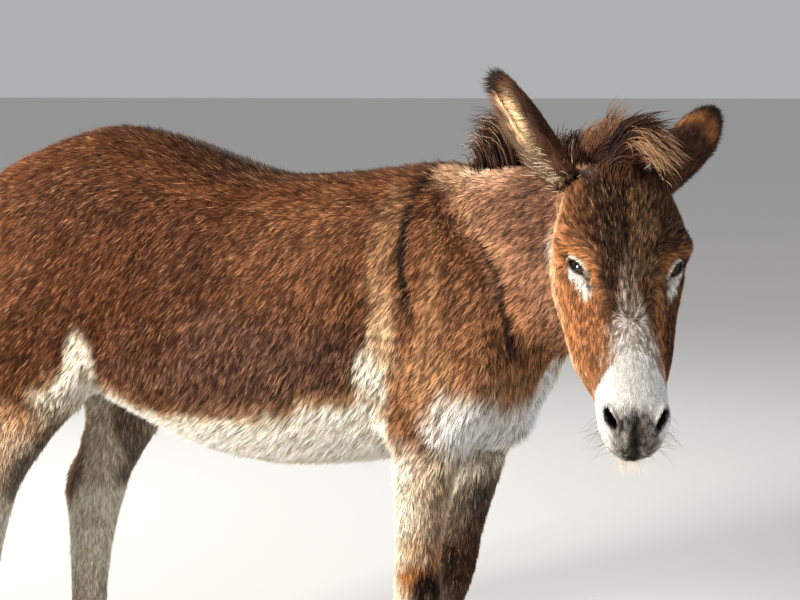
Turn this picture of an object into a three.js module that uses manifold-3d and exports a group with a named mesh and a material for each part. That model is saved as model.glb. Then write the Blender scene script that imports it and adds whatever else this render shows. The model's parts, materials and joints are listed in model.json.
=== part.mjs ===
// A still, life-size donkey standing square, with its neck bent to its right and its face turned that way.
// Units are millimetres. +X runs from tail to breast, +Y to the animal's left, +Z up, the floor at Z 0.
// Every outline is the outline of the coat. The flesh is modelled whole and parted with thin cuts.
import * as THREE from "three";
import { mergeVertices } from "three/addons/utils/BufferGeometryUtils.js";
import Module from "manifold-3d";

const wasm = await Module();
wasm.setup();

// ---- Driving dimensions ----
const CUT = 0.4; // width of the cut between two neighbouring parts
// How much a body is grown about its own middle before its neighbour is cut clear of it.
const GROWTH = { dock: 1.002, flesh: 1.004, head: 1.006, hair: 1.01 };
const LEG_TRACK = 118; // from the midline to the middle of each leg
// Each leg leaves the trunk at a sloping cut: its height at one place along X, and the rise per mm forward.
const ELBOW_CUT = { x: 230, z: 556, slope: 0.2 };
const STIFLE_CUT = { x: -250, z: 580, slope: -0.3 };
const KNEE_CUT = 345;
const HOCK_CUT = 400;
const CORONET = 52;
const HEAD_ORIGIN = new THREE.Vector3(727, -350, 1098); // top of the skull between the ears
const HEAD_YAW = -62.5; // degrees from +X, turned to the animal's right
const HEAD_TILT = -1.5; // degrees about the way it faces: the left side a little lower
const HEAD_DROOP = 37; // degrees between the line of the face and the vertical
const EYE_RADIUS = 22;
const EYE_PLACE = { along: 162, side: 61, below: 30.5 };
const EAR_LENGTH = 248;
const EAR_WIDTH = 108;

const TRUNK_SIDES = 24;
const NECK_SIDES = 20;
const HEAD_SIDES = 24;
const LEG_SIDES = 14;
const TAIL_SIDES = 10;
const MANE_SIDES = 10;

// ---- Outline tables: each row is one section, and the sections between are interpolated ----
// Trunk: top and bottom are heights, half is half the width, level the height of the widest point.
const TRUNK = [
  { at: -672, top: 900, bottom: 812, half: 22, level: 855 },
  { at: -661, top: 965, bottom: 765, half: 78, level: 858 },
  { at: -630, top: 1040, bottom: 728, half: 128, level: 866 },
  { at: -575, top: 1076, bottom: 700, half: 160, level: 875 },
  { at: -515, top: 1101, bottom: 680, half: 178, level: 882 },
  { at: -440, top: 1128, bottom: 656, half: 188, level: 885 },
  { at: -350, top: 1146, bottom: 620, half: 197, level: 878 },
  { at: -250, top: 1131, bottom: 582, half: 213, level: 850 },
  { at: -130, top: 1094, bottom: 547, half: 227, level: 815 },
  { at: 0, top: 1063, bottom: 536, half: 232, level: 795 },
  { at: 120, top: 1068, bottom: 545, half: 220, level: 800 },
  { at: 230, top: 1081, bottom: 564, half: 195, level: 815 },
  { at: 320, top: 1089, bottom: 583, half: 173, level: 815 },
  { at: 400, top: 1066, bottom: 588, half: 158, level: 805 },
  { at: 455, top: 1005, bottom: 604, half: 138, level: 795 },
  { at: 498, top: 925, bottom: 648, half: 100, level: 780 },
  { at: 517, top: 850, bottom: 700, half: 46, level: 775 },
];

// Neck: the middle line, with the reach up to the crest, down to the throat, and half the width.
const NECK = [
  { x: 190, y: 0, z: 850, up: 150, down: 170, half: 88 },
  { x: 350, y: -4, z: 900, up: 178, down: 205, half: 108 },
  { x: 475, y: -38, z: 925, up: 160, down: 180, half: 104 },
  { x: 580, y: -115, z: 948, up: 148, down: 152, half: 95 },
  { x: 652, y: -205, z: 968, up: 136, down: 130, half: 85 },
  { x: 695, y: -285, z: 985, up: 118, down: 116, half: 76 },
  { x: 722, y: -345, z: 990, up: 84, down: 90, half: 62 },
];

// Head: along the face from the poll, the rise over the face line, the depth below it, half the width,
// and how far below the face line the widest point lies.
const HEAD = [
  { at: -34, rise: -52, depth: 84, half: 26, level: 68 },
  { at: -20, rise: -20, depth: 108, half: 54, level: 60 },
  { at: 0, rise: 2, depth: 124, half: 68, level: 52 },
  { at: 38, rise: 15, depth: 150, half: 84, level: 46 },
  { at: 84, rise: 20, depth: 176, half: 96, level: 42 },
  { at: 124, rise: 19, depth: 190, half: 101, level: 42 },
  { at: 154, rise: 14, depth: 195, half: 95, level: 60 },
  { at: 184, rise: 9, depth: 192, half: 87, level: 84 },
  { at: 218, rise: 5, depth: 181, half: 78, level: 84 },
  { at: 252, rise: 2, depth: 160, half: 67, level: 74 },
  { at: 292, rise: 0, depth: 136, half: 57, level: 62 },
  { at: 330, rise: -2, depth: 116, half: 51, level: 52 },
  { at: 365, rise: -3, depth: 107, half: 50, level: 49 },
  { at: 400, rise: -9, depth: 102, half: 49, level: 52 },
  { at: 426, rise: -23, depth: 94, half: 40, level: 56 },
  { at: 442, rise: -43, depth: 78, half: 22, level: 60 },
];

// Legs: at each height the middle along X, the reach to the front and back, half the thickness,
// and how far out from the leg's track the middle lies.
const FORELEG = [
  { at: 1040, x: 330, front: 44, back: 50, half: 18, out: -34 },
  { at: 990, x: 338, front: 70, back: 78, half: 34, out: -16 },
  { at: 920, x: 355, front: 92, back: 104, half: 50, out: -2 },
  { at: 840, x: 382, front: 108, back: 132, half: 60, out: 4 },
  { at: 760, x: 382, front: 116, back: 150, half: 64, out: 4 },
  { at: 690, x: 350, front: 112, back: 118, half: 64, out: 2 },
  { at: 630, x: 326, front: 84, back: 82, half: 60, out: 0 },
  { at: 560, x: 312, front: 62, back: 58, half: 51, out: 0 },
  { at: 480, x: 303, front: 49, back: 46, half: 44, out: 0 },
  { at: 410, x: 299, front: 42, back: 41, half: 39, out: 0 },
  { at: 350, x: 297, front: 44, back: 41, half: 40, out: 0 },
  { at: 310, x: 294, front: 41, back: 41, half: 38, out: 0 },
  { at: 265, x: 291, front: 34, back: 37, half: 32, out: 0 },
  { at: 200, x: 289, front: 31, back: 34, half: 28, out: 0 },
  { at: 150, x: 289, front: 33, back: 38, half: 31, out: 0 },
  { at: 120, x: 291, front: 37, back: 43, half: 35, out: 0 },
  { at: 92, x: 299, front: 33, back: 38, half: 32, out: 0 },
  { at: 66, x: 309, front: 36, back: 38, half: 35, out: 0 },
  { at: 50, x: 315, front: 42, back: 41, half: 40, out: 0 },
  { at: 0, x: 321, front: 57, back: 45, half: 45, out: 0 },
];

const HINDLEG = [
  { at: 1030, x: -440, front: 60, back: 70, half: 36, out: -22 },
  { at: 950, x: -446, front: 120, back: 150, half: 60, out: -6 },
  { at: 860, x: -450, front: 155, back: 190, half: 74, out: 2 },
  { at: 780, x: -448, front: 168, back: 190, half: 78, out: 4 },
  { at: 700, x: -450, front: 158, back: 156, half: 76, out: 2 },
  { at: 630, x: -468, front: 124, back: 110, half: 66, out: -2 },
  { at: 560, x: -500, front: 90, back: 80, half: 56, out: -2 },
  { at: 500, x: -532, front: 72, back: 74, half: 49, out: -2 },
  { at: 455, x: -556, front: 67, back: 78, half: 46, out: -2 },
  { at: 410, x: -572, front: 67, back: 70, half: 45, out: -2 },
  { at: 360, x: -580, front: 58, back: 52, half: 43, out: -2 },
  { at: 300, x: -586, front: 48, back: 44, half: 38, out: -2 },
  { at: 220, x: -590, front: 40, back: 39, half: 33, out: -2 },
  { at: 155, x: -591, front: 38, back: 41, half: 33, out: -2 },
  { at: 122, x: -589, front: 39, back: 44, half: 36, out: -2 },
  { at: 94, x: -581, front: 34, back: 39, half: 33, out: -2 },
  { at: 68, x: -571, front: 37, back: 38, half: 35, out: -2 },
  { at: 50, x: -565, front: 42, back: 41, half: 40, out: -2 },
  { at: 0, x: -560, front: 56, back: 45, half: 44, out: -2 },
];
// How far each leg stands before or behind its table, growing from the height `from` down to `to`.
const STRIDE = {
  fore_left: { shift: -66, from: 620, to: 60 },
  fore_right: { shift: 0, from: 620, to: 60 },
  hind_left: { shift: 62, from: 820, to: 480 },
  hind_right: { shift: -40, from: 860, to: 520 },
};

// Tail: the middle line of dock and switch with its radius.
const TAIL = [
  { x: -590, y: 0, z: 1016, r: 28 },
  { x: -652, y: 0, z: 1006, r: 33 },
  { x: -700, y: 1, z: 958, r: 30 },
  { x: -718, y: 2, z: 880, r: 26 },
  { x: -722, y: 4, z: 780, r: 24 },
  { x: -720, y: 6, z: 690, r: 26 },
  { x: -716, y: 6, z: 600, r: 36 },
  { x: -712, y: 6, z: 520, r: 42 },
  { x: -708, y: 6, z: 440, r: 31 },
  { x: -706, y: 6, z: 385, r: 8 },
];
const TAIL_CUT = { x: -674, z: 985 };
const SWITCH_CUT = 665;

// ---- Small tools ----
const lerp = THREE.MathUtils.lerp;
const rad = THREE.MathUtils.degToRad;

// Value of one column of a table at a station, through a Catmull-Rom curve that never overshoots a flat.
function column(rows, key) {
  const t = rows.map((r) => r.at);
  const v = rows.map((r) => r[key]);
  const last = rows.length - 1;
  const slope = v.map((_, i) => {
    if (i === 0 || i === last) {
      const j = i === 0 ? 0 : last - 1;
      return (v[j + 1] - v[j]) / (t[j + 1] - t[j]);
    }
    const before = (v[i] - v[i - 1]) / (t[i] - t[i - 1]);
    const after = (v[i + 1] - v[i]) / (t[i + 1] - t[i]);
    return before * after <= 0 ? 0 : (2 * before * after) / (before + after);
  });
  const rising = t[last] > t[0];
  return (s) => {
    let i = 0;
    while (i < last - 1 && (rising ? s > t[i + 1] : s < t[i + 1])) i += 1;
    const h = t[i + 1] - t[i];
    const u = THREE.MathUtils.clamp((s - t[i]) / h, 0, 1);
    const a = (1 + 2 * u) * (1 - u) * (1 - u);
    const b = u * (1 - u) * (1 - u);
    const c = u * u * (3 - 2 * u);
    const d = u * u * (u - 1);
    return a * v[i] + b * h * slope[i] + c * v[i + 1] + d * h * slope[i + 1];
  };
}

function columns(rows) {
  const made = {};
  for (const key of Object.keys(rows[0])) if (key !== "at") made[key] = column(rows, key);
  return made;
}

// Stations between the rows of a table, with `extra` more in each gap.
function stations(rows, extra) {
  const found = [];
  rows.slice(0, -1).forEach((row, i) => {
    for (let k = 0; k <= extra; k += 1) found.push(lerp(row.at, rows[i + 1].at, k / (extra + 1)));
  });
  found.push(rows[rows.length - 1].at);
  return found;
}

// One point of a section: an ellipse-like outline with its own reach up, down and to the side.
// A power over 2 squares the outline.
function outline(angle, up, down, half, power = 2) {
  const c = Math.cos(angle);
  const s = Math.sin(angle);
  const bend = (w) => Math.sign(w) * Math.abs(w) ** (2 / power);
  return { side: half * bend(c), up: (s > 0 ? up : down) * bend(s) };
}

// A closed solid from rings of points, each ring with the same count, with a fan over each end.
function loftGeometry(rings) {
  const sides = rings[0].length;
  const points = rings.flat();
  const index = [];
  for (let r = 0; r < rings.length - 1; r += 1) {
    for (let k = 0; k < sides; k += 1) {
      const a = r * sides + k;
      const b = r * sides + ((k + 1) % sides);
      index.push(a, b, a + sides, b, b + sides, a + sides);
    }
  }
  const middle = (ring) => ring.reduce((m, p) => m.add(p), new THREE.Vector3()).divideScalar(sides);
  const first = points.push(middle(rings[0])) - 1;
  const end = points.push(middle(rings[rings.length - 1])) - 1;
  const tip = (rings.length - 1) * sides;
  for (let k = 0; k < sides; k += 1) {
    const next = (k + 1) % sides;
    index.push(first, next, k, end, tip + k, tip + next);
  }
  return new THREE.BufferGeometry().setFromPoints(points).setIndex(index);
}

// A closed mesh as a manifold solid, turned right side out.
function solid(geometry, matrix = new THREE.Matrix4()) {
  const bare = geometry.clone().applyMatrix4(matrix);
  bare.deleteAttribute("normal");
  bare.deleteAttribute("uv");
  const merged = mergeVertices(bare, 1e-3);
  const make = (tri) =>
    new wasm.Manifold(
      new wasm.Mesh({ numProp: 3, vertProperties: merged.attributes.position.array, triVerts: tri }),
    );
  const tri = new Uint32Array(merged.index.array);
  const made = make(tri);
  if (made.volume() > 0) return made;
  const turned = tri.slice();
  for (let i = 0; i < turned.length; i += 3) {
    turned[i + 1] = tri[i + 2];
    turned[i + 2] = tri[i + 1];
  }
  return make(turned);
}

function geometryOf(body) {
  const mesh = body.getMesh();
  const points = new Float32Array(mesh.numVert * 3);
  for (let i = 0; i < mesh.numVert; i += 1) {
    points.set(mesh.vertProperties.subarray(i * mesh.numProp, i * mesh.numProp + 3), i * 3);
  }
  const geometry = new THREE.BufferGeometry();
  geometry.setAttribute("position", new THREE.BufferAttribute(points, 3));
  geometry.setIndex(new THREE.BufferAttribute(mesh.triVerts, 1));
  geometry.computeVertexNormals();
  return geometry;
}

// The part of a body on the side of a plane that the normal points to, less half a cut.
const HALF_SPACE = 4000;
function beyond(body, point, normal) {
  const n = normal.clone().normalize();
  const turn = new THREE.Quaternion().setFromUnitVectors(new THREE.Vector3(0, 0, 1), n);
  const centre = point.clone().addScaledVector(n, HALF_SPACE / 2 + CUT / 2);
  const matrix = new THREE.Matrix4().compose(centre, turn, new THREE.Vector3(1, 1, 1));
  const block = new THREE.BoxGeometry(HALF_SPACE, HALF_SPACE, HALF_SPACE);
  return body.intersect(solid(block, matrix));
}

const behind = (body, point, normal) => beyond(body, point, normal.clone().negate());
const above = (body, z) => beyond(body, new THREE.Vector3(0, 0, z), new THREE.Vector3(0, 0, 1));
const below = (body, z) => behind(body, new THREE.Vector3(0, 0, z), new THREE.Vector3(0, 0, 1));

// The largest body of what a cut leaves, so that no sliver stays with it.
function largest(body) {
  return body.decompose().reduce((a, b) => (a.volume() > b.volume() ? a : b));
}

// The same body a little larger about a point, to keep a neighbour off it by a cut's width.
function grown(body, centre, share) {
  const scale = new THREE.Matrix4()
    .makeTranslation(centre)
    .scale(new THREE.Vector3(share, share, share))
    .multiply(new THREE.Matrix4().makeTranslation(centre.clone().negate()));
  return solid(geometryOf(body), scale);
}

// ---- Trunk ----
function trunkSolid() {
  const c = columns(TRUNK);
  const rings = stations(TRUNK, 1).map((x) => {
    const ring = [];
    for (let k = 0; k < TRUNK_SIDES; k += 1) {
      const angle = (k / TRUNK_SIDES) * 2 * Math.PI + Math.PI / 2;
      const o = outline(angle, c.top(x) - c.level(x), c.level(x) - c.bottom(x), c.half(x), 2.15);
      ring.push(new THREE.Vector3(x, o.side, c.level(x) + o.up));
    }
    return ring;
  });
  return solid(loftGeometry(rings));
}

// ---- Neck: sections square to the middle line, each with its top up ----
function neckFrames() {
  const line = new THREE.CatmullRomCurve3(
    NECK.map((r) => new THREE.Vector3(r.x, r.y, r.z)),
    false,
    "centripetal",
  );
  const rows = NECK.map((r, i) => ({ ...r, at: i }));
  const c = columns(rows);
  const steps = (NECK.length - 1) * 2;
  return Array.from({ length: steps + 1 }, (_, i) => {
    const s = i / 2;
    const t = i / steps;
    const forward = line.getTangent(t);
    const left = new THREE.Vector3(0, 0, 1).cross(forward).normalize();
    const top = forward.clone().cross(left).normalize();
    return { at: line.getPoint(t), left, top, up: c.up(s), down: c.down(s), half: c.half(s) };
  });
}

function neckSolid() {
  const rings = neckFrames().map((f) => {
    const ring = [];
    for (let k = 0; k < NECK_SIDES; k += 1) {
      const angle = (k / NECK_SIDES) * 2 * Math.PI + Math.PI / 2;
      const o = outline(angle, f.up, f.down, f.half);
      ring.push(f.at.clone().addScaledVector(f.left, o.side).addScaledVector(f.top, o.up));
    }
    return ring;
  });
  return solid(loftGeometry(rings));
}

// ---- Head, in its own frame: along the face, out to the left, and up from the face ----
const droop = rad(HEAD_DROOP);
const yaw = rad(HEAD_YAW);
const facing = new THREE.Vector3(Math.cos(yaw), Math.sin(yaw), 0);
const tilt = new THREE.Quaternion().setFromAxisAngle(facing, rad(HEAD_TILT));
const ALONG = facing.clone().multiplyScalar(Math.sin(droop)).setZ(-Math.cos(droop)).applyQuaternion(tilt);
const RISE = facing.clone().multiplyScalar(Math.cos(droop)).setZ(Math.sin(droop)).applyQuaternion(tilt);
const LEFT = RISE.clone().cross(ALONG);

function headPoint(along, side, rise) {
  return HEAD_ORIGIN.clone()
    .addScaledVector(ALONG, along)
    .addScaledVector(LEFT, side)
    .addScaledVector(RISE, rise);
}

function headSolid() {
  const c = columns(HEAD);
  const rings = stations(HEAD, 0).map((l) => {
    const ring = [];
    for (let k = 0; k < HEAD_SIDES; k += 1) {
      const angle = (k / HEAD_SIDES) * 2 * Math.PI + Math.PI / 2;
      const o = outline(angle, c.rise(l) + c.level(l), c.depth(l) - c.level(l), c.half(l), 2.25);
      ring.push(headPoint(l, o.side, o.up - c.level(l)));
    }
    return ring;
  });
  return solid(loftGeometry(rings));
}

function eyeSolid(side, radius) {
  const place = headPoint(EYE_PLACE.along, side * EYE_PLACE.side, -EYE_PLACE.below);
  const ball = new THREE.SphereGeometry(radius, 12, 8);
  return solid(ball, new THREE.Matrix4().setPosition(place));
}

// ---- Ears: a rolled leaf with its opening turned out, closed by a wall of even thickness ----
const EAR = {
  right: { along: 20, side: -68, rise: -18, lean: [-0.67, 0.372, 0.64], opening: [-0.563, -0.818, -0.114] },
  left: { along: 16, side: 60, rise: -18, lean: [0.086, 0.9, 0.429], opening: [-0.45, 0.42, -0.79] },
};
const EAR_ROWS = 8;
const EAR_COLUMNS = 8;
const EAR_WALL = 7;

// Half the width of the ear's flattened leaf at a share of its length, and how far it is rolled.
const earHalfWidth = (t) => (EAR_WIDTH / 2) * (0.9 + 0.15 * Math.sin(Math.PI * t)) * (1 - t ** 4) ** 0.7;
const earRoll = (t) => lerp(2.4, 1.1, t);

function earSolid(ear) {
  const axis = new THREE.Vector3(...ear.lean).normalize();
  const mouth = new THREE.Vector3(...ear.opening).projectOnPlane(axis).normalize();
  const across = axis.clone().cross(mouth);
  const root = headPoint(ear.along, ear.side, ear.rise);
  const sheet = (inner) =>
    Array.from({ length: EAR_ROWS + 1 }, (_, i) => {
      const t = i / EAR_ROWS;
      const half = Math.max(earHalfWidth(t), 2.5);
      const roll = earRoll(t);
      const radius = half / roll;
      const wall = inner ? Math.min(EAR_WALL, radius * 0.45) : 0;
      return Array.from({ length: EAR_COLUMNS }, (_, k) => {
        const angle = lerp(-roll, roll, k / (EAR_COLUMNS - 1));
        const reach = radius - wall;
        return root
          .clone()
          .addScaledVector(axis, EAR_LENGTH * t - (inner ? wall * 0.3 * t : 0))
          .addScaledVector(mouth, radius * 0.4 - reach * Math.cos(angle))
          .addScaledVector(across, reach * Math.sin(angle));
      });
    });
  const outer = sheet(false);
  const inner = sheet(true).map((row) => row.reverse());
  return solid(loftGeometry(outer.map((row, i) => [...row, ...inner[i]])));
}

// ---- Legs ----
function legSolid(rows, side, stride) {
  const c = columns(rows);
  const step = (z) => stride.shift * THREE.MathUtils.smoothstep(stride.from - z, 0, stride.from - stride.to);
  const rings = stations(rows, 0).map((z) => {
    const ring = [];
    for (let k = 0; k < LEG_SIDES; k += 1) {
      const angle = (k / LEG_SIDES) * 2 * Math.PI;
      const o = outline(angle, c.front(z), c.back(z), c.half(z));
      ring.push(new THREE.Vector3(c.x(z) + step(z) + o.up, side * (LEG_TRACK + c.out(z)) + o.side, z));
    }
    return ring;
  });
  return solid(loftGeometry(rings));
}

// ---- Tail ----
function tailSolid() {
  const line = new THREE.CatmullRomCurve3(TAIL.map((r) => new THREE.Vector3(r.x, r.y, r.z)));
  const radius = column(TAIL.map((r, i) => ({ ...r, at: i })), "r");
  const steps = (TAIL.length - 1) * 2;
  const rings = Array.from({ length: steps + 1 }, (_, i) => {
    const t = i / steps;
    const along = line.getTangent(t);
    const side = new THREE.Vector3(0, 1, 0);
    const out = side.clone().cross(along).normalize();
    return Array.from({ length: TAIL_SIDES }, (_, k) => {
      const angle = (k / TAIL_SIDES) * 2 * Math.PI;
      const r = radius(i / 2);
      return line
        .getPoint(t)
        .addScaledVector(side, r * Math.cos(angle))
        .addScaledVector(out, r * Math.sin(angle));
    });
  });
  return solid(loftGeometry(rings));
}

// ---- Mane and forelock: ridges of hair that stand off the flesh by a cut's width ----
const MANE = { first: 2, height: 60, thick: 42, lean: 22 };
const FORELOCK = { along: 8, side: -2, rise: 28, long: 58, wide: 62, thick: 44 };

function maneSolid() {
  const frames = neckFrames();
  const rings = frames.slice(MANE.first, frames.length - 2).map((f, i, all) => {
    const share = i / (all.length - 1);
    const height = MANE.height * Math.min(1, 0.2 + share * 6);
    return Array.from({ length: MANE_SIDES }, (_, k) => {
      const angle = (k / MANE_SIDES) * 2 * Math.PI;
      const rise = f.up - 14 + (height + 14) * (0.5 + 0.5 * Math.sin(angle));
      const lean = MANE.lean * ((rise - f.up) / height);
      return f.at
        .clone()
        .addScaledVector(f.top, rise)
        .addScaledVector(f.left, lean + (MANE.thick / 2) * Math.cos(angle));
    });
  });
  return solid(loftGeometry(rings));
}

function forelockSolid() {
  const lump = new THREE.SphereGeometry(1, 14, 9);
  const axes = new THREE.Matrix4().makeBasis(
    ALONG.clone().multiplyScalar(FORELOCK.long),
    LEFT.clone().multiplyScalar(FORELOCK.wide),
    RISE.clone().multiplyScalar(FORELOCK.thick),
  );
  axes.setPosition(headPoint(FORELOCK.along, FORELOCK.side, FORELOCK.rise));
  return solid(lump, axes);
}

// ---- Parting the whole animal into its named nodes ----
const NECK_CUT = { point: new THREE.Vector3(448, 0, 930), normal: new THREE.Vector3(0.88, -0.18, 0.43) };
const POLL_CUT = {
  point: headPoint(-16, 0, -6),
  normal: ALONG.clone().multiplyScalar(0.72).addScaledVector(RISE, 0.69),
};
const EAR_CUT = 26; // height over the ear's root where it leaves the head

const legs = {};
for (const [end, rows, top, joint] of [
  ["fore", FORELEG, ELBOW_CUT, KNEE_CUT],
  ["hind", HINDLEG, STIFLE_CUT, HOCK_CUT],
]) {
  for (const [name, side] of [
    ["left", 1],
    ["right", -1],
  ]) {
    const leg = legSolid(rows, side, STRIDE[`${end}_${name}`]);
    const point = new THREE.Vector3(top.x, 0, top.z);
    const normal = new THREE.Vector3(-top.slope, 0, 1);
    legs[`${end}_${name}`] = {
      shoulder: beyond(leg, point, normal),
      upper: above(behind(leg, point, normal), joint),
      lower: above(below(leg, joint), CORONET),
      hoof: below(leg, CORONET),
    };
  }
}

const trunkWhole = Object.values(legs).reduce((body, leg) => body.add(leg.shoulder), trunkSolid());
const tail = tailSolid();
const tailPoint = new THREE.Vector3(TAIL_CUT.x, 0, TAIL_CUT.z);
const tailNormal = new THREE.Vector3(-0.8, 0, -0.6);
const rumpMiddle = new THREE.Vector3(-200, 0, 850);
const dock = beyond(tail, tailPoint, tailNormal).subtract(grown(trunkWhole, rumpMiddle, GROWTH.dock));
const flesh = trunkWhole
  .add(behind(tail, tailPoint, tailNormal))
  .add(neckSolid())
  .add(headSolid());
const neckMiddle = new THREE.Vector3(NECK[3].x, NECK[3].y, NECK[3].z);
const clear = grown(flesh, neckMiddle, GROWTH.flesh);

const front = beyond(flesh, NECK_CUT.point, NECK_CUT.normal);
const parts = {
  trunk: largest(behind(flesh, NECK_CUT.point, NECK_CUT.normal)),
  neck: largest(behind(front, POLL_CUT.point, POLL_CUT.normal)),
};
let head = front;
for (const side of ["left", "right"]) {
  const ear = earSolid(EAR[side]);
  const axis = new THREE.Vector3(...EAR[side].lean).normalize();
  const root = headPoint(EAR[side].along, EAR[side].side, EAR[side].rise).addScaledVector(axis, EAR_CUT);
  parts[`ear_${side}`] = largest(beyond(ear, root, axis).subtract(clear));
  head = head.add(behind(ear, root, axis));
}
head = beyond(head, POLL_CUT.point, POLL_CUT.normal);
for (const [side, sign] of [
  ["left", 1],
  ["right", -1],
]) {
  parts[`eye_${side}`] = eyeSolid(sign, EYE_RADIUS);
  head = head.subtract(eyeSolid(sign, EYE_RADIUS + CUT));
}
parts.head = largest(head);

const skullMiddle = headPoint(90, 0, -80);
const hairFree = clear
  .add(grown(parts.head, skullMiddle, GROWTH.head))
  .add(parts.ear_left)
  .add(parts.ear_right)
  .add(grown(parts.ear_left, skullMiddle, GROWTH.hair))
  .add(grown(parts.ear_right, skullMiddle, GROWTH.hair));
parts.mane = largest(maneSolid().subtract(hairFree));
parts.forelock = largest(
  forelockSolid().subtract(hairFree).subtract(grown(parts.mane, neckMiddle, GROWTH.hair)),
);

parts.tail_dock = largest(above(dock, SWITCH_CUT));
parts.tail_switch = largest(below(dock, SWITCH_CUT));
for (const [name, leg] of Object.entries(legs)) {
  parts[`leg_${name}_upper`] = leg.upper;
  parts[`leg_${name}_lower`] = leg.lower;
  parts[`hoof_${name}`] = leg.hoof;
}

// ---- Materials and the finished group ----
const finish = (color, roughness) => new THREE.MeshStandardMaterial({ color, roughness, metalness: 0 });
const COAT_BROWN = finish(0x6b4229, 0.85);
const COAT_NECK = finish(0x7d5a42, 0.85);
const COAT_PALE = finish(0xcbb59a, 0.85);
const HAIR_DARK = finish(0x33211a, 0.8);
const HORN = finish(0x3a332d, 0.55);
const EYE_DARK = finish(0x1c100a, 0.1);

function materialOf(name) {
  if (name.startsWith("hoof")) return HORN;
  if (name.startsWith("eye")) return EYE_DARK;
  if (name.startsWith("leg")) return COAT_PALE;
  if (name === "mane" || name === "tail_switch") return HAIR_DARK;
  if (name === "neck" || name === "forelock") return COAT_NECK;
  return COAT_BROWN;
}

const donkey = new THREE.Group();
const bounds = new THREE.Box3();
for (const [name, body] of Object.entries(parts)) {
  const mesh = new THREE.Mesh(geometryOf(body), materialOf(name));
  mesh.name = name;
  donkey.add(mesh);
  bounds.expandByObject(mesh);
}

// The origin is on the floor under the middle of the animal's own box.
const middle = bounds.getCenter(new THREE.Vector3());
donkey.position.set(-middle.x, -middle.y, -bounds.min.z);

export default donkey;
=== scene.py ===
import json
import math

import bmesh
import bpy
import numpy as np
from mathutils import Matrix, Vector

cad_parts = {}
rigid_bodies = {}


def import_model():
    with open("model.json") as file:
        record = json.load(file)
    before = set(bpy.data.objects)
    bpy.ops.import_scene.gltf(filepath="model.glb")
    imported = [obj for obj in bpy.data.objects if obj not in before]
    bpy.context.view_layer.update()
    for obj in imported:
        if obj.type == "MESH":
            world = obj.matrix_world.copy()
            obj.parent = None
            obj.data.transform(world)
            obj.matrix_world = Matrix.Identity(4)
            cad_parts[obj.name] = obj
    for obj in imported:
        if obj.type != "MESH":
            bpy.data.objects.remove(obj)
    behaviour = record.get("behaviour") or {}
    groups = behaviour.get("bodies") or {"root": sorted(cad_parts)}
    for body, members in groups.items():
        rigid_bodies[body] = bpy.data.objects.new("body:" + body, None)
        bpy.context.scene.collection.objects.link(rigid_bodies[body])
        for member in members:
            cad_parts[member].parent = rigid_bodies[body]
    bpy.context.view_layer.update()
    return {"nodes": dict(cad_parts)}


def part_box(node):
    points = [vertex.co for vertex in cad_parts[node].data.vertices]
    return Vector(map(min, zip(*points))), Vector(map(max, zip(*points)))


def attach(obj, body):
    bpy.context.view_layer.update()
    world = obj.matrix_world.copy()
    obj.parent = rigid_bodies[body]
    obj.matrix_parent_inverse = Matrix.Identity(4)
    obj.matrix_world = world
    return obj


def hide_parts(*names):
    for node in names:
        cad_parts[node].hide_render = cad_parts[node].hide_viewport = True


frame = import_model()
draw = np.random.default_rng(41)

# Everything is worked out in the animal's own frame, in metres: +X from tail to breast, +Y to its left,
# the spine over y = 0, the floor at z = 0. ownPlace is where that frame lies in the part's frame.
hoofLow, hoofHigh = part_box("hoof_fore_right")
toeReach, legTrack = 0.378, 0.118
ownPlace = np.array([hoofHigh.x - toeReach, (hoofLow.y + hoofHigh.y) / 2 + legTrack, 0.0])


def rows(keys, *table):  # a dictionary for each row of a table, by the names in keys
    return [dict(zip(keys.split(), row)) for row in table]


def unit(v):  # every row divided by its own length
    return v / np.maximum(np.linalg.norm(v, axis=-1, keepdims=True), 1e-9)


def ease(low, high, x):  # 0 up to low, 1 from high on, and an S curve between them
    t = np.clip((x - low) / (high - low), 0, 1)
    return t * t * (3 - 2 * t)


def mix(a, b, share):  # a where share is 0, b where it is 1
    return a + (b - a) * share


def wave(points, pitch, seed):
    # Value noise: a random number from -1 to 1 at every corner of a cubic lattice of that pitch,
    # blended over each cube with the S curve.
    q = points / pitch + seed * 17.31
    cell = np.floor(q).astype(np.int64)
    f = q - cell
    f = f * f * (3 - 2 * f)
    total = np.zeros(len(points))
    for corner in range(8):
        step = np.array([corner & 1, (corner >> 1) & 1, (corner >> 2) & 1])
        k = cell + step
        h = (k[:, 0] * 73856093) ^ (k[:, 1] * 19349663) ^ (k[:, 2] * 83492791) ^ (seed * 2654435)
        h = ((h ^ (h >> 13)) * 1274126177) & 0x7FFFFFFF
        value = ((h ^ (h >> 16)) & 0xFFFF) / 32767.5 - 1
        total += value * np.prod(np.where(step == 1, f, 1 - f), axis=1)
    return total


def nearPolyline(points, line):
    # Distance from each point to a line of straight stretches, and the share of the line at the nearest place.
    best, share = np.full(len(points), 9.0), np.zeros(len(points))
    spans = np.linalg.norm(np.diff(line, axis=0), axis=1)
    done = 0.0
    for a, b, span in zip(line[:-1], line[1:], spans):
        t = np.clip((points - a) @ (b - a) / span**2, 0, 1)
        d = np.linalg.norm(points - (a + t[:, None] * (b - a)), axis=1)
        closer = d < best
        best = np.where(closer, d, best)
        share = np.where(closer, (done + t * span) / spans.sum(), share)
        done += span
    return best, share


def folded(points):  # both sides laid on the left one
    both = points.copy()
    both[:, 1] = np.abs(both[:, 1])
    return both


def turnAbout(v, axis, angle):  # v turned about a unit axis, by Rodrigues' formula
    return v * math.cos(angle) + np.cross(axis, v) * math.sin(angle) + axis * (axis @ v) * (1 - math.cos(angle))


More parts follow.
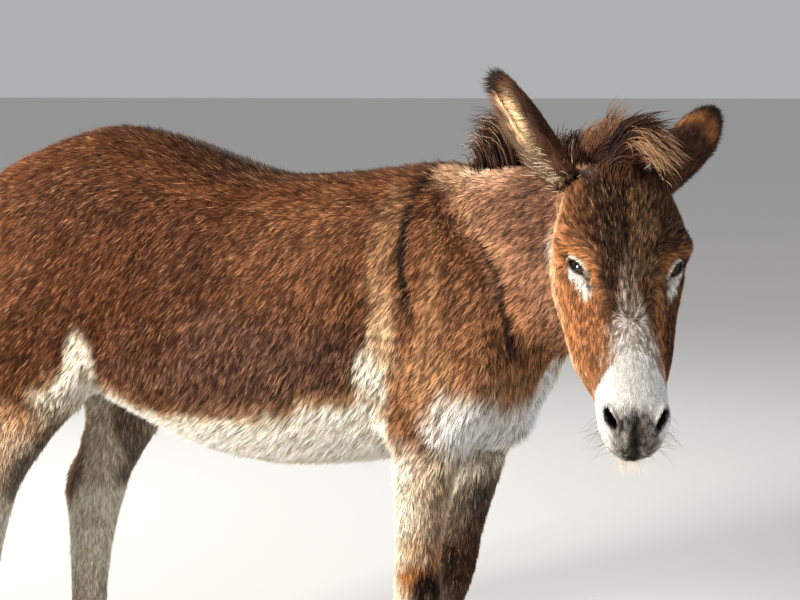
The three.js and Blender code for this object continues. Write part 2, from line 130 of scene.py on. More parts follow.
# The head's own frame: down the face from the poll, out to its left, and up from the face.
headFrame = {"poll": (0.727, -0.35, 1.098), "yaw": -62.5, "tilt": -1.5, "droop": 37.0}
poll = np.array(headFrame["poll"])
yaw, tilt, droop = (math.radians(headFrame[k]) for k in ("yaw", "tilt", "droop"))
facing = np.array([math.cos(yaw), math.sin(yaw), 0.0])
upward = np.array([0.0, 0.0, 1.0])
faceDown = turnAbout(facing * math.sin(droop) - upward * math.cos(droop), facing, tilt)
faceUp = turnAbout(facing * math.cos(droop) + upward * math.sin(droop), facing, tilt)
faceLeft = np.cross(faceUp, faceDown)
headAxes = np.array([faceDown, faceLeft, faceUp])


def toHead(points):  # own frame to head frame: down the face, left, up from the face
    return (points - poll) @ headAxes.T


def fromHead(points):  # head frame to own frame
    return poll + np.asarray(points) @ headAxes


def makeMesh(name, points, faces):
    # A mesh from an array of points and an array of faces that all have the same number of corners.
    mesh = bpy.data.meshes.new(name)
    count, corners = faces.shape
    mesh.vertices.add(len(points))
    mesh.vertices.foreach_set("co", (points + ownPlace).astype(np.float32).ravel())
    mesh.loops.add(count * corners)
    mesh.loops.foreach_set("vertex_index", faces.astype(np.int32).ravel())
    mesh.polygons.add(count)
    mesh.polygons.foreach_set("loop_start", np.arange(0, count * corners, corners, dtype=np.int32))
    mesh.polygons.foreach_set("use_smooth", np.ones(count, dtype=bool))
    mesh.update(calc_edges=True)
    return mesh


def addPiece(mesh, material, slot, stands=()):  # a visible piece, and the CAD nodes that it stands for
    piece = bpy.data.objects.new(mesh.name, mesh)
    bpy.context.scene.collection.objects.link(piece)
    mesh.materials.clear()
    mesh.materials.append(material)
    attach(piece, "root")
    if stands:
        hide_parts(*stands)
    return piece


def fetched(items, key, per, kind):  # a row of numbers for each item of one of a mesh's lists
    flat = np.empty(len(items) * per, kind)
    items.foreach_get(key, flat)
    return flat.reshape(-1, per)


def pointsOf(mesh):  # a mesh's points in the animal's own frame
    return fetched(mesh.vertices, "co", 3, np.float32).astype(float) - ownPlace


def normalsOf(mesh):  # the unit normal at each point
    return fetched(mesh.vertex_normals, "vector", 3, np.float32).astype(float)


def edgesOf(mesh):  # the numbers of each edge's two points
    return fetched(mesh.edges, "vertices", 2, np.int32)


def trianglesOf(mesh):  # the numbers of each triangle's three points
    mesh.calc_loop_triangles()
    return fetched(mesh.loop_triangles, "vertices", 3, np.int32)


def setPoints(mesh, points):  # moves a mesh's points to places in the animal's own frame
    mesh.vertices.foreach_set("co", (points + ownPlace).astype(np.float32).ravel())
    mesh.update()


def setTint(mesh, tint):  # one colour for each point, linear light
    layer = mesh.color_attributes.new("coatTint", "FLOAT_COLOR", "POINT")
    full = np.ones((len(tint), 4), np.float32)
    full[:, :3] = tint
    layer.data.foreach_set("color", full.ravel())


def setNumber(mesh, name, values):  # one number for each point
    mesh.attributes.new(name, "FLOAT", "POINT").data.foreach_set("value", values.astype(np.float32))


def sheetFaces(rows, columns, closed=False):
    # Quads of a grid of points numbered along the columns; closed joins the last column to the first.
    r, c = np.meshgrid(np.arange(rows - 1), np.arange(columns if closed else columns - 1), indexing="ij")
    d = (c + 1) % columns
    near, far = r * columns, (r + 1) * columns
    return np.stack([near + c, near + d, far + d, far + c], -1).reshape(-1, 4)


def closedLoft(rings):
    # Points and triangles of a closed skin through rings (rows, corners, 3), with a fan over each end.
    rows, corners = rings.shape[:2]
    quads = sheetFaces(rows, corners, closed=True)
    points = np.vstack([rings.reshape(-1, 3), rings[0].mean(0), rings[-1].mean(0)])
    k = np.arange(corners)
    n = (k + 1) % corners
    first, last, tip = rows * corners, rows * corners + 1, (rows - 1) * corners
    caps = np.vstack([np.stack([n, k, np.full(corners, first)], -1),
                      np.stack([tip + k, tip + n, np.full(corners, last)], -1)])
    return points, np.vstack([quads[:, [0, 1, 2]], quads[:, [0, 2, 3]], caps])


def reworked(mesh, work):  # the mesh itself, after work has changed it as a bmesh
    shell = bmesh.new()
    shell.from_mesh(mesh)
    work(shell)
    shell.to_mesh(mesh)
    shell.free()
    return mesh


def facesOutward(mesh):  # turns every face of a closed mesh outwards
    return reworked(mesh, lambda shell: bmesh.ops.recalc_face_normals(shell, faces=shell.faces))


sideSign = {"left": 1, "right": -1}
limbs = [f"{end}_{side}" for end in ("fore", "hind") for side in ("left", "right")]
legNames = [f"leg_{limb}_{part}" for limb in limbs for part in ("upper", "lower")]
fleshNames = ["trunk", "neck", "head", "tail_dock"] + legNames
skinMake = {
    "voxel": 0.0085,
    "swell": 0.0007,  # each solid is swollen by this, so that the thin cuts between them close
    "rounds": 44,  # passes of smoothing on the trunk
}
eyeSet = {"along": 0.1605, "left": 0.062, "right": 0.0575, "below": 0.031, "radius": 0.019}


def fleshCopy(name):
    # A solid's own mesh, merged and swollen a little along its normals.
    mesh = frame["nodes"][name].data.copy()
    reworked(mesh, lambda shell: bmesh.ops.remove_doubles(shell, verts=shell.verts, dist=1e-5))
    setPoints(mesh, pointsOf(mesh) + normalsOf(mesh) * skinMake["swell"])
    mesh.materials.clear()
    return bpy.data.objects.new("flesh_" + name, mesh)


def voxelShell():
    # All the flesh and the eyeballs united into one closed body, which is then remeshed in small cubes.
    body = fleshCopy("trunk")
    bpy.context.scene.collection.objects.link(body)
    rest = bpy.data.collections.new("rest")
    bpy.context.scene.collection.children.link(rest)
    for name in fleshNames[1:] + ["eye_left", "eye_right"]:
        rest.objects.link(fleshCopy(name))
    unite = body.modifiers.new("unite", "BOOLEAN")
    unite.operation, unite.solver, unite.operand_type, unite.collection = "UNION", "EXACT", "COLLECTION", rest
    cubes = body.modifiers.new("cubes", "REMESH")
    cubes.mode, cubes.voxel_size, cubes.adaptivity = "VOXEL", skinMake["voxel"], 0.0
    made = bpy.data.meshes.new_from_object(body.evaluated_get(bpy.context.evaluated_depsgraph_get()))
    for used in list(rest.objects) + [body]:
        bpy.data.objects.remove(used)
    bpy.data.collections.remove(rest)
    made.name = "skin"
    return made


def neighbourMean(values, edges):  # for each point, the mean of the values (n, k) of the points joined to it
    count = len(values)
    a, b = edges[:, 0], edges[:, 1]
    near = np.maximum(np.bincount(a, minlength=count) + np.bincount(b, minlength=count), 1)
    return np.stack([(np.bincount(a, v[b], count) + np.bincount(b, v[a], count)) / near for v in values.T], -1)


def relax(points, edges, rounds, share):
    # Taubin smoothing: each pass moves every point towards the mean of its neighbours by 0.5 of the way,
    # and the next moves it back by 0.52, times the point's own share.
    for _ in range(rounds):
        for step in (0.5, -0.52):
            points = points + (neighbourMean(points, edges) - points) * (step * share)[:, None]
    return points


def spread(values, edges, rounds):  # each value drawn halfway to its neighbours' mean, a few times over
    for _ in range(rounds):
        values = 0.5 * values + 0.5 * neighbourMean(values, edges)
    return values


def headShare(points):  # 1 over the head, fading out at the throat and the poll
    h = toHead(points)
    return ease(-0.03, 0.05, h[:, 0]) * ease(0.15, 0.11, np.abs(h[:, 1])) * ease(-0.26, -0.2, h[:, 2])


def legShare(points):  # 1 on the legs, fading out over the forearm and the gaskin
    return ease(0.6, 0.5, points[:, 2]) * (1 - headShare(points))


# Forms that the outline alone does not give. Each one moves the skin along its normal by rise, in metres,
# inside an ellipsoid; both sides of the body have them unless side says otherwise.
bodyForms = rows(
    "part at size rise side",
    ("crest roll", (0.462, -0.075, 1.04), (0.12, 0.12, 0.085), 0.012, -1),
    ("shoulder blade", (0.315, 0.165, 0.93), (0.085, 0.08, 0.15), 0.008),
    ("point of shoulder", (0.425, 0.15, 0.775), (0.07, 0.08, 0.075), 0.012),
    ("hollow behind shoulder", (0.225, 0.185, 0.86), (0.045, 0.08, 0.17), -0.008),
    ("elbow", (0.262, 0.165, 0.64), (0.05, 0.07, 0.06), 0.01),
    ("point of hip", (-0.245, 0.185, 1.01), (0.06, 0.08, 0.055), 0.008),
    ("flank hollow", (-0.165, 0.205, 0.925), (0.075, 0.08, 0.085), -0.012),
    ("stifle", (-0.345, 0.18, 0.69), (0.06, 0.07, 0.075), 0.009),
    ("groove before thigh", (-0.29, 0.205, 0.77), (0.035, 0.08, 0.12), -0.011),
    ("buttock", (-0.6, 0.12, 0.86), (0.09, 0.1, 0.13), 0.007),
    ("hip groove", (-0.52, 0.17, 0.8), (0.035, 0.09, 0.14), -0.006),
    ("rib barrel", (0.03, 0.215, 0.76), (0.2, 0.1, 0.14), 0.005),
    ("foot of the breast", (0.495, 0.02, 0.64), (0.085, 0.14, 0.075), -0.028, 1),
    ("slope of the breast", (0.535, 0.05, 0.69), (0.11, 0.16, 0.12), -0.052, 1),
    ("brisket cleft", (0.5, 0.0, 0.74), (0.05, 0.022, 0.09), -0.009),
)
neckCrease = np.array([(0.385, -0.12, 0.995), (0.415, -0.125, 0.961), (0.447, -0.138, 0.914),
                       (0.46, -0.145, 0.87), (0.473, -0.156, 0.819)])
bladeCrease = np.array([(0.352, -0.1, 1.03), (0.375, -0.13, 0.98), (0.4, -0.13, 0.955)])


def inside(points, at, size):  # 1 at the middle of an ellipsoid and 0 from its surface outwards
    d2 = (((points - at) / size) ** 2).sum(1)
    return np.clip(1 - d2, 0, 1) ** 2


def raised(points, forms):  # how far a list of forms moves each point along its normal
    rise = np.zeros(len(points))
    for form in forms:
        rise += form["rise"] * inside(points, np.array(form["at"]), np.array(form["size"]))
    return rise


def shapeBody(points, normals):
    # Both sides of the body have every form but those with a side of their own; then the two creases are sunk.
    rise = raised(folded(points), [form for form in bodyForms if "side" not in form])
    rise += raised(points, [form for form in bodyForms if "side" in form])
    for line, width, depth in ((neckCrease, 0.026, 0.011), (bladeCrease, 0.03, 0.008)):
        away, share = nearPolyline(points, line)
        rise -= depth * np.exp(-((away / width) ** 2)) * (1 - 0.5 * share)
    return points + normals * rise[:, None]


def coatDepth(points):
    # How far the skin lies inside the coat's outline.
    h = toHead(points)
    depth = np.full(len(points), 0.011)
    depth = mix(depth, 0.014, ease(0.7, 0.6, points[:, 2]) * ease(-0.4, -0.3, points[:, 0]))
    depth = mix(depth, 0.007, legShare(points))
    depth = mix(depth, 0.0045, ease(0.45, 0.12, points[:, 2]))
    face = mix(0.0065, 0.0026, ease(0.1, 0.36, h[:, 0]))
    return mix(depth, face, headShare(points))

# The face in its own frame, the same on both sides: bumps and hollows along the normal, then grooves and ridges.
faceForms = rows(
    "part at size rise",
    ("rim over the eye", (0.13, 0.088, -0.01), (0.042, 0.034, 0.036), 0.009),
    ("hollow over the eye", (0.086, 0.06, 0.004), (0.03, 0.026, 0.03), -0.004),
    ("masseter", (0.15, 0.086, -0.118), (0.085, 0.05, 0.062), 0.006),
    ("bar of the jaw", (0.275, 0.046, -0.108), (0.115, 0.055, 0.07), 0.015),
    ("hollow of the face", (0.285, 0.048, -0.03), (0.075, 0.026, 0.03), -0.005),
    ("nostril wing", (0.398, 0.042, -0.024), (0.034, 0.02, 0.03), 0.006),
    ("upper lip", (0.432, 0.016, -0.048), (0.02, 0.026, 0.022), 0.003),
    ("chin", (0.42, 0.0, -0.092), (0.034, 0.03, 0.022), 0.006),
    ("chin groove", (0.372, 0.0, -0.104), (0.02, 0.036, 0.02), -0.005),
)
faceLines = rows(
    "part line width rise",
    ("cheek bone", [(0.175, 0.088, -0.05), (0.225, 0.076, -0.058), (0.3, 0.058, -0.056)], 0.012, 0.004),
    ("philtrum", [(0.402, 0.0, -0.01), (0.425, 0.0, -0.022), (0.442, 0.0, -0.048)], 0.0055, -0.0045),
    ("mouth", [(0.446, 0.0, -0.07), (0.44, 0.022, -0.069), (0.418, 0.04, -0.071), (0.388, 0.048, -0.075),
               (0.366, 0.05, -0.078)], 0.0045, -0.008),
)
nostril = {"at": (0.404, 0.036, -0.021), "axis": (0.9, -0.4, -0.18), "long": 0.0185, "wide": 0.0066,
           "deep": 0.024, "inward": (-0.55, -0.45, -0.7)}
eyelid = {"halfLong": 0.0172, "upper": 0.0068, "lower": 0.0058, "power": 1.75, "thick": 0.0016, "blend": 0.022}


def shapeFace(points, normals):  # the forms of the face, then its grooves and ridges, faded out at the throat
    h = folded(toHead(points))
    rise = raised(h, faceForms)
    for ridge in faceLines:
        away, _ = nearPolyline(h, np.array(ridge["line"]))
        rise += ridge["rise"] * np.exp(-((away / ridge["width"]) ** 2))
    return points + normals * (rise * headShare(points))[:, None]


def nostrilShare(points):
    # How far a point lies from the middle of its nostril, 1 at the rim: an ellipse along the slit.
    h = folded(toHead(points))
    axis, inward = unit(np.array(nostril["axis"])), unit(np.array(nostril["inward"]))
    q = h - np.array(nostril["at"])
    q = q - (q @ inward)[:, None] * inward
    along = q @ axis
    across = np.sqrt(np.maximum((q**2).sum(1) - along**2, 0))
    deep = np.abs((h - np.array(nostril["at"])) @ inward)
    return np.hypot(along / nostril["long"], across / nostril["wide"]) + 9 * ease(0.03, 0.042, deep)


def sinkNostrils(points):
    # Inside each slit the skin goes in along the nose: deepest at the middle, with a rolled rim.
    share = nostrilShare(points)
    inward = unit(np.array(nostril["inward"]))
    sides = np.where(toHead(points)[:, 1:2] < 0, [[1, -1, 1]], [[1, 1, 1]])
    into = (inward * sides) @ headAxes
    depth = nostril["deep"] * ease(1.02, 0.45, share) - 0.0022 * np.exp(-(((share - 1.25) / 0.22) ** 2))
    return points + into * depth[:, None]


def eyeAxes(side):
    # The eye's centre, and its axes: along the slit towards the nose, towards the brow, and outwards.
    centre = fromHead([eyeSet["along"], eyeSet["left"] if side > 0 else -eyeSet["right"], -eyeSet["below"]])
    out = unit(np.array([0.34, side * 0.66, 0.67])) @ headAxes
    slit = np.array([0.8, -side * 0.56, 0.18]) @ headAxes
    slit = unit(slit - out * (slit @ out))
    brow = np.cross(out, slit)
    return centre, slit, brow if brow @ faceDown < 0 else -brow, out


def lidCurve(u, v):
    # Distance outside the almond of the opening, measured away from its middle, and its relative size there.
    height = np.where(v > 0, eyelid["upper"], eyelid["lower"])
    p = eyelid["power"]
    ring = (np.abs(u / eyelid["halfLong"]) ** p + np.abs(v / height) ** p) ** (1 / p)
    r = np.hypot(u, v)
    return r - r / np.maximum(ring, 1e-6), ring


def lidDome(u, v):  # height of the lids over the eye's centre: a flat dome a little wider than the ball
    return eyeSet["radius"] * np.sqrt(np.maximum(0.1, 1 - (u / 0.0275) ** 2 - (v / 0.0265) ** 2)) + eyelid["thick"]


def openEye(points, side):
    # The skin near an eye takes the height of the lids over the ball; within the almond it drops to a bed
    # below the ball's surface, and its edge is drawn onto the almond.
    centre, slit, brow, out = eyeAxes(side)
    q = points - centre
    u, v, w = q @ slit, q @ brow, q @ out
    away, ring = lidCurve(u, v)
    edge = (np.abs(away) < 0.0007) & (w > 0)
    u, v = np.where(edge, u / ring, u), np.where(edge, v / ring, v)
    lids = lidDome(u, v) + 0.0011 * np.exp(-(((away - 0.002) / 0.0016) ** 2))
    lids -= np.where(v > 0, 0.0016, 0.0008) * np.exp(-(((away - 0.0075) / 0.002) ** 2))
    lids += np.where(v > 0, 0.003, 0.0) * np.exp(-(((away - 0.015) / 0.006) ** 2))
    height = np.where(away < -0.0002, lidDome(u, v) - 0.0062, lids)
    near = ease(eyelid["blend"], 0.006, away) * ease(-0.016, 0.0, w) * (np.hypot(u, v) < 0.06)
    w = mix(w, height, near)
    return np.where((near > 0)[:, None], centre + u[:, None] * slit + v[:, None] * brow + w[:, None] * out, points)


def fillCrease(points, edges):
    # Plain smoothing near the plane where the neck leaves the shoulder, which fills the sharp wedge there.
    gap = np.abs((points - [0.448, 0, 0.93]) @ unit(np.array([0.88, -0.18, 0.43])))
    share = ease(0.075, 0.02, gap) * ease(0.6, 0.66, points[:, 2]) * ease(1.08, 1.0, points[:, 2])
    return mix(points, spread(points, edges, 50), share[:, None])


def refine(mesh, chosen):  # every edge with both ends chosen is cut in two
    def cutEdges(shell):
        edges = [e for e in shell.edges if chosen[e.verts[0].index] and chosen[e.verts[1].index]]
        bmesh.ops.subdivide_edges(shell, edges=edges, cuts=1, use_grid_fill=True)

    reworked(mesh, cutEdges)


def eyeNearness(points):  # distance to the nearer eye's centre
    return np.minimum(*(np.linalg.norm(points - eyeAxes(side)[0], axis=1) for side in (1, -1)))


print("skin: remeshing the flesh")
skin = voxelShell()
points = pointsOf(skin)
share = 1 - 0.62 * np.maximum(headShare(points), legShare(points))
points = relax(points, edgesOf(skin), skinMake["rounds"], share)
points = fillCrease(points, edgesOf(skin))
setPoints(skin, points)
points = shapeBody(points, normalsOf(skin))
setPoints(skin, points)
points = points - normalsOf(skin) * coatDepth(points)[:, None]
setPoints(skin, points)

print("skin: face")
refine(skin, (headShare(points) > 0.2) & (toHead(points)[:, 0] > 0.02))
points = pointsOf(skin)
points = relax(points, edgesOf(skin), 5, headShare(points))
setPoints(skin, points)
points = shapeFace(points, normalsOf(skin))
setPoints(skin, points)
h = toHead(points)
refine(skin, (headShare(points) > 0.5) & ((eyeNearness(points) < 0.052) | (h[:, 0] > 0.375)))
points = pointsOf(skin)
share = ease(0.06, 0.05, eyeNearness(points)) + ease(0.36, 0.38, toHead(points)[:, 0])
points = relax(points, edgesOf(skin), 3, share)
setPoints(skin, points)
refine(skin, (eyeNearness(points) < 0.036) | (nostrilShare(points) < 1.7))
points = sinkNostrils(pointsOf(skin))
for side in (1, -1):
    points = openEye(points, side)
setPoints(skin, points)
print("skin:", len(skin.vertices), "points", len(trianglesOf(skin)), "triangles")

earForm = {
    "length": 0.237,
    "width": 0.105,
    "rows": 56,
    "columns": 22,
    "right": {"root": (0.02, -0.068, -0.018), "lean": (-0.67, 0.372, 0.64), "opening": (-0.563, -0.818, -0.114),
              "band": 0.25, "edge": 0.0},
    "left": {"root": (0.016, 0.06, -0.018), "lean": (0.086, 0.9, 0.429), "opening": (-0.45, 0.42, -0.79),
             "band": 0.85, "edge": 0.8},
}


def earAxes(side):  # root, direction of the tip, direction of the opening, and across
    axis = unit(np.array(earForm[side]["lean"]))
    mouth = np.array(earForm[side]["opening"])
    mouth = unit(mouth - axis * (mouth @ axis))
    return fromHead(earForm[side]["root"]), axis, mouth, np.cross(axis, mouth)


def earSkin(side):
    # A rolled leaf: at the share t of its length its half width is (width / 2)(0.9 + 0.15 sin pi t)(1 - t^4)^0.7,
    # bent to a part circle of half angle 2.4 at the root and 1.1 at the tip. The inner sheet lies within the
    # outer one by the wall, which thins to the rim.
    root, axis, mouth, across = earAxes(side)
    t = np.linspace(0, 1, earForm["rows"])[:, None]
    s = np.linspace(-1, 1, earForm["columns"])[None, :]
    half = np.maximum(earForm["width"] / 2 * (0.9 + 0.15 * np.sin(math.pi * t)) * (1 - t**4) ** 0.7 - 0.0015, 0.0012)
    roll = mix(2.4, 1.1, t)
    radius = half / roll
    sheets = []
    for inner in (False, True):
        wall = np.minimum(mix(0.0055, 0.003, t), radius * 0.4) * (1 - 0.62 * np.abs(s) ** 4) if inner else 0 * s
        ridge = 0.001 * np.cos(9 * s) * ease(0.08, 0.3, t) * ease(1, 0.7, t) if inner else 0 * s
        reach = radius - wall + ridge
        place = (
            root
            + axis * (earForm["length"] * t - (0.002 * t if inner else 0))[..., None]
            + mouth * (radius * 0.4 - reach * np.cos(roll * s))[..., None]
            + across * (reach * np.sin(roll * s))[..., None]
        )
        sheets.append(place if not inner else place[:, ::-1])
    points, faces = closedLoft(np.concatenate(sheets, axis=1))
    columns = earForm["columns"]
    up = np.append(np.repeat(t[:, 0], 2 * columns), [0, 1])
    acrossLeaf = np.append(np.tile(np.append(s[0], s[0, ::-1]), earForm["rows"]), [0, 0])
    within = np.append(np.tile(np.repeat([0.0, 1.0], columns), earForm["rows"]), [0.5, 0.5])
    return points, faces, up, acrossLeaf, within


eyeLook = {"cornea": 0.0012, "rings": 64, "sides": 96, "pupilLong": 0.0078, "pupilHigh": 0.0042, "iris": 0.0132}


def eyeball(side):
    # A sphere with the cornea standing proud of it: at the angle a from the way it looks the radius is
    # R + cornea cos^2 (a stretched), and the poles are closed with a fan.
    centre, slit, brow, out = eyeAxes(side)
    a = np.linspace(0.02, math.pi - 0.02, eyeLook["rings"])[:, None]
    b = np.linspace(0, 2 * math.pi, eyeLook["sides"], endpoint=False)[None, :]
    radius = eyeSet["radius"] - 0.0006 + eyeLook["cornea"] * ease(0.85, 0.15, a)
    ring = (
        centre
        + out * (radius * np.cos(a) * np.ones_like(b))[..., None]
        + slit * (radius * np.sin(a) * np.cos(b))[..., None]
        + brow * (radius * np.sin(a) * np.sin(b))[..., None]
    )
    points, faces = closedLoft(ring)
    q = points - centre
    return points, faces, q @ slit, q @ brow


def almond(turn):  # the place on the almond's edge, along and up, at an angle from the slit
    c, s = np.cos(turn), np.sin(turn)
    height = np.where(s > 0, eyelid["upper"], eyelid["lower"])
    p = eyelid["power"]
    r = (np.abs(c / eyelid["halfLong"]) ** p + np.abs(s / height) ** p) ** (-1 / p)
    return r * c, r * s


rimMake = {"along": 120, "around": 10, "thick": 0.00125, "upperMore": 0.0004}


def lidRim(side):
    # The bare rim of the lids: a closed tube round the almond, which follows the height of the lids.
    centre, slit, brow, out = eyeAxes(side)
    along, around = rimMake["along"], rimMake["around"]
    u, v = almond(np.linspace(0, 2 * math.pi, along, endpoint=False))
    line = centre + u[:, None] * slit + v[:, None] * brow + (lidDome(u, v) - 0.0004)[:, None] * out
    ahead = unit(np.roll(line, -1, 0) - np.roll(line, 1, 0))
    sideways = unit(np.cross(ahead, out))
    over = np.cross(sideways, ahead)
    k = np.linspace(0, 2 * math.pi, around, endpoint=False)[None, :, None]
    thick = rimMake["thick"] + rimMake["upperMore"] * (v > 0)
    ring = np.cos(k) * sideways[:, None] + np.sin(k) * over[:, None]
    tube = line[:, None] + ring * thick[:, None, None]
    return tube.reshape(-1, 3), sheetFaces(along + 1, around, closed=True) % (along * around)


hoofForm = {
    "fore": {"x": (0.321, 0.31), "front": (0.056, 0.0385), "back": (0.044, 0.037), "half": (0.0445, 0.037),
             "out": 0.0},
    "hind": {"x": (-0.56, -0.569), "front": (0.055, 0.0385), "back": (0.044, 0.037), "half": (0.0435, 0.037),
             "out": -0.002},
    "height": 0.06,
    "ringDeep": 0.0005,
}
stride = {"fore_left": -0.066, "fore_right": 0.0, "hind_left": 0.062, "hind_right": -0.04}


def hoof(end, side):
    # Rings from the ground to inside the coronet: each is a half ellipse in front and a flatter one behind,
    # narrowing upwards, with shallow growth rings and a bevel at the ground.
    form = hoofForm[end]
    t = np.concatenate([[0, 0.012, 0.04], np.linspace(0.07, 1, 44)])[:, None]
    k = np.linspace(0, 2 * math.pi, 72, endpoint=False)[None, :]
    front, back, half = (mix(*form[key], t) for key in ("front", "back", "half"))
    bevel = 1 - 0.035 * ease(0.03, 0.0, t)
    rings = 1 - hoofForm["ringDeep"] / 0.04 * (0.5 + 0.5 * np.cos(t * 52)) * ease(0.05, 0.15, t)
    swell = 1 + 0.025 * np.exp(-(((t - 0.86) / 0.07) ** 2)) - 0.06 * ease(0.92, 1, t)
    heel = 1 - 0.1 * np.exp(-(((np.abs(k - math.pi)) / 0.35) ** 2))
    reach = np.where(np.cos(k) > 0, front, back * heel) * bevel * rings * swell
    x = mix(*form["x"], t) + stride[f"{end}_{side}"] + reach * np.cos(k)
    y = sideSign[side] * (legTrack + form["out"]) + half * bevel * rings * swell * np.sin(k) * (1 + 0.06 * np.cos(k))
    z = hoofForm["height"] * t * (1 + 0.1 * np.cos(k) * t)
    points, faces = closedLoft(np.stack([x, y + 0 * x, z + 0 * x], -1))
    return points, faces


def tone(red, green, blue):  # a colour told in sRGB from 0 to 255, in linear light
    c = np.array([red, green, blue]) / 255
    return np.where(c <= 0.04045, c / 12.92, ((c + 0.055) / 1.055) ** 2.4)


tones = {
    "chocolate": (75, 40, 22), "darkBack": (46, 25, 18), "chestnut": (68, 35, 18), "greyBrown": (84, 57, 45),
    "gingerBrown": (125, 82, 53), "ginger": (160, 104, 61), "tan": (168, 128, 92), "paleTan": (204, 166, 128),
    "cream": (240, 226, 200), "white": (248, 243, 234), "stripe": (30, 18, 15), "black": (26, 20, 20),
    "neckGrey": (132, 93, 71), "crestPale": (208, 168, 138), "umber": (72, 46, 36), "muzzleGrey": (60, 52, 47),
    "midGrey": (176, 156, 140), "legGrey": (206, 192, 172), "earCream": (226, 184, 142), "cheek": (148, 94, 56),
    "forehead": (40, 22, 16),
}
tones = {name: tone(*mixed) for name, mixed in tones.items()}

# Soft marks on both sides: an ellipsoid at a place, as strong as told, with an edge that wanders.
bodyMarks = rows(
    "tone at size soft strength",
    ("darkBack", (-0.1, 0.0, 1.1), (0.42, 0.13, 0.1), 0.5, 0.8),
    ("chestnut", (-0.3, 0.1, 1.06), (0.16, 0.14, 0.1), 0.5, 0.7),
    ("greyBrown", (0.02, 0.22, 0.735), (0.34, 0.2, 0.11), 0.5, 0.85),
    ("gingerBrown", (0.13, 0.21, 0.935), (0.16, 0.2, 0.12), 0.7, 0.6),
    ("chestnut", (-0.17, 0.22, 0.8), (0.08, 0.2, 0.09), 0.5, 0.7),
    ("gingerBrown", (-0.52, 0.17, 0.9), (0.15, 0.2, 0.13), 0.6, 0.15),
    ("gingerBrown", (-0.5, 0.19, 0.72), (0.13, 0.2, 0.12), 0.5, 0.3),
    ("tan", (-0.5, 0.17, 0.62), (0.12, 0.2, 0.075), 0.6, 0.75),
    ("tan", (-0.64, 0.08, 0.84), (0.07, 0.2, 0.12), 0.6, 0.6),
    ("gingerBrown", (0.37, 0.17, 0.86), (0.095, 0.2, 0.24), 0.6, 0.85),
    ("tan", (0.345, 0.18, 0.86), (0.022, 0.2, 0.09), 0.8, 0.35),
    ("gingerBrown", (0.285, 0.17, 0.68), (0.045, 0.2, 0.14), 0.5, 0.8),
    ("tan", (0.255, 0.17, 0.93), (0.026, 0.2, 0.13), 0.8, 0.55),
    ("paleTan", (0.262, 0.18, 0.79), (0.026, 0.2, 0.085), 0.8, 0.85),
    ("tan", (0.35, 0.18, 0.725), (0.06, 0.2, 0.085), 0.8, 0.6),
    ("cream", (0.238, 0.18, 0.715), (0.028, 0.1, 0.07), 0.5, 0.95),
    ("chestnut", (-0.44, 0.19, 0.715), (0.1, 0.2, 0.125), 0.35, 1.0),
    ("cream", (-0.345, 0.18, 0.715), (0.028, 0.2, 0.066), 0.5, 1.0),
    ("cream", (-0.365, 0.16, 0.665), (0.024, 0.2, 0.036), 0.7, 0.7),
)
neckMarks = rows(
    "tone at size soft strength",
    ("neckGrey", (0.56, -0.15, 0.9), (0.15, 0.5, 0.3), 0.45, 1.0),
    ("crestPale", (0.39, -0.05, 1.066), (0.085, 0.5, 0.04), 0.7, 1.0),
    ("neckGrey", (0.44, -0.05, 1.01), (0.1, 0.5, 0.065), 0.5, 0.9),
    ("umber", (0.53, -0.18, 1.02), (0.085, 0.5, 0.075), 0.6, 0.9),
    ("umber", (0.56, -0.18, 0.968), (0.05, 0.5, 0.03), 0.7, 0.7),
    ("gingerBrown", (0.47, -0.1, 0.78), (0.1, 0.5, 0.11), 0.7, 0.8),
    ("tan", (0.45, -0.12, 0.715), (0.08, 0.5, 0.05), 0.8, 0.45),
    ("white", (0.405, 0.0, 0.652), (0.07, 0.5, 0.066), 0.6, 1.0),
    ("white", (0.5, 0.075, 0.67), (0.085, 0.17, 0.08), 0.5, 1.0),
    # painted shade: the far side of the breast greyed
    ("legGrey", (0.54, 0.07, 0.74), (0.06, 0.1, 0.1), 0.6, 0.8),
)
# Lines of colour: dark ones over the spine and the shoulder, painted shade in the crease of the neck,
# and a pale one behind the crest.
bodyLines = rows(
    "tone line width scale strength fade",
    ("stripe", [(-0.7, 0, 0.95), (-0.64, 0, 1.03), (-0.5, 0, 1.1), (-0.35, 0, 1.14), (-0.2, 0, 1.115),
                (0, 0, 1.06), (0.2, 0, 1.075), (0.33, 0, 1.085)], (0.021, 0.016), (0.3, 1, 0.15), 0.85),
    ("stripe", [(0.3, 0, 1.09), (0.299, 0.085, 1.059), (0.291, 0.121, 1.023), (0.288, 0.146, 0.983),
                (0.29, 0.162, 0.943), (0.296, 0.171, 0.903), (0.305, 0.174, 0.862), (0.312, 0.174, 0.83),
                (0.317, 0.177, 0.8)], (0.0085, 0.0062), (1, 0.2, 1), 1.0, True),
    ("umber", [(0.372, 0.171, 0.89), (0.384, 0.176, 0.866), (0.384, 0.182, 0.834), (0.37, 0.183, 0.8)],
     (0.006, 0.012), (1, 0.3, 1), 0.55),
)
neckLines = rows(
    "tone line width scale strength",
    ("tan", [(0.335, -0.07, 1.075), (0.362, -0.105, 1.03), (0.388, -0.12, 0.995), (0.425, -0.128, 0.967),
             (0.465, -0.145, 0.935)], (0.016, 0.012), (1, 0.3, 1), 0.5),
    # painted shade: a dark line along the crease of the neck
    ("stripe", [(0.4, -0.125, 0.975), (0.425, -0.128, 0.945), (0.45, -0.138, 0.91), (0.462, -0.146, 0.865),
                (0.474, -0.156, 0.82), (0.48, -0.15, 0.775)], (0.006, 0.009), (1, 0.3, 1), 0.85),
)
bellyEdge = {
    "x": [-0.46, -0.36, -0.319, -0.26, -0.18, -0.087, 0.0, 0.079, 0.153, 0.223, 0.262],
    "z": [0.66, 0.7, 0.668, 0.643, 0.634, 0.635, 0.64, 0.656, 0.678, 0.7, 0.66],
}


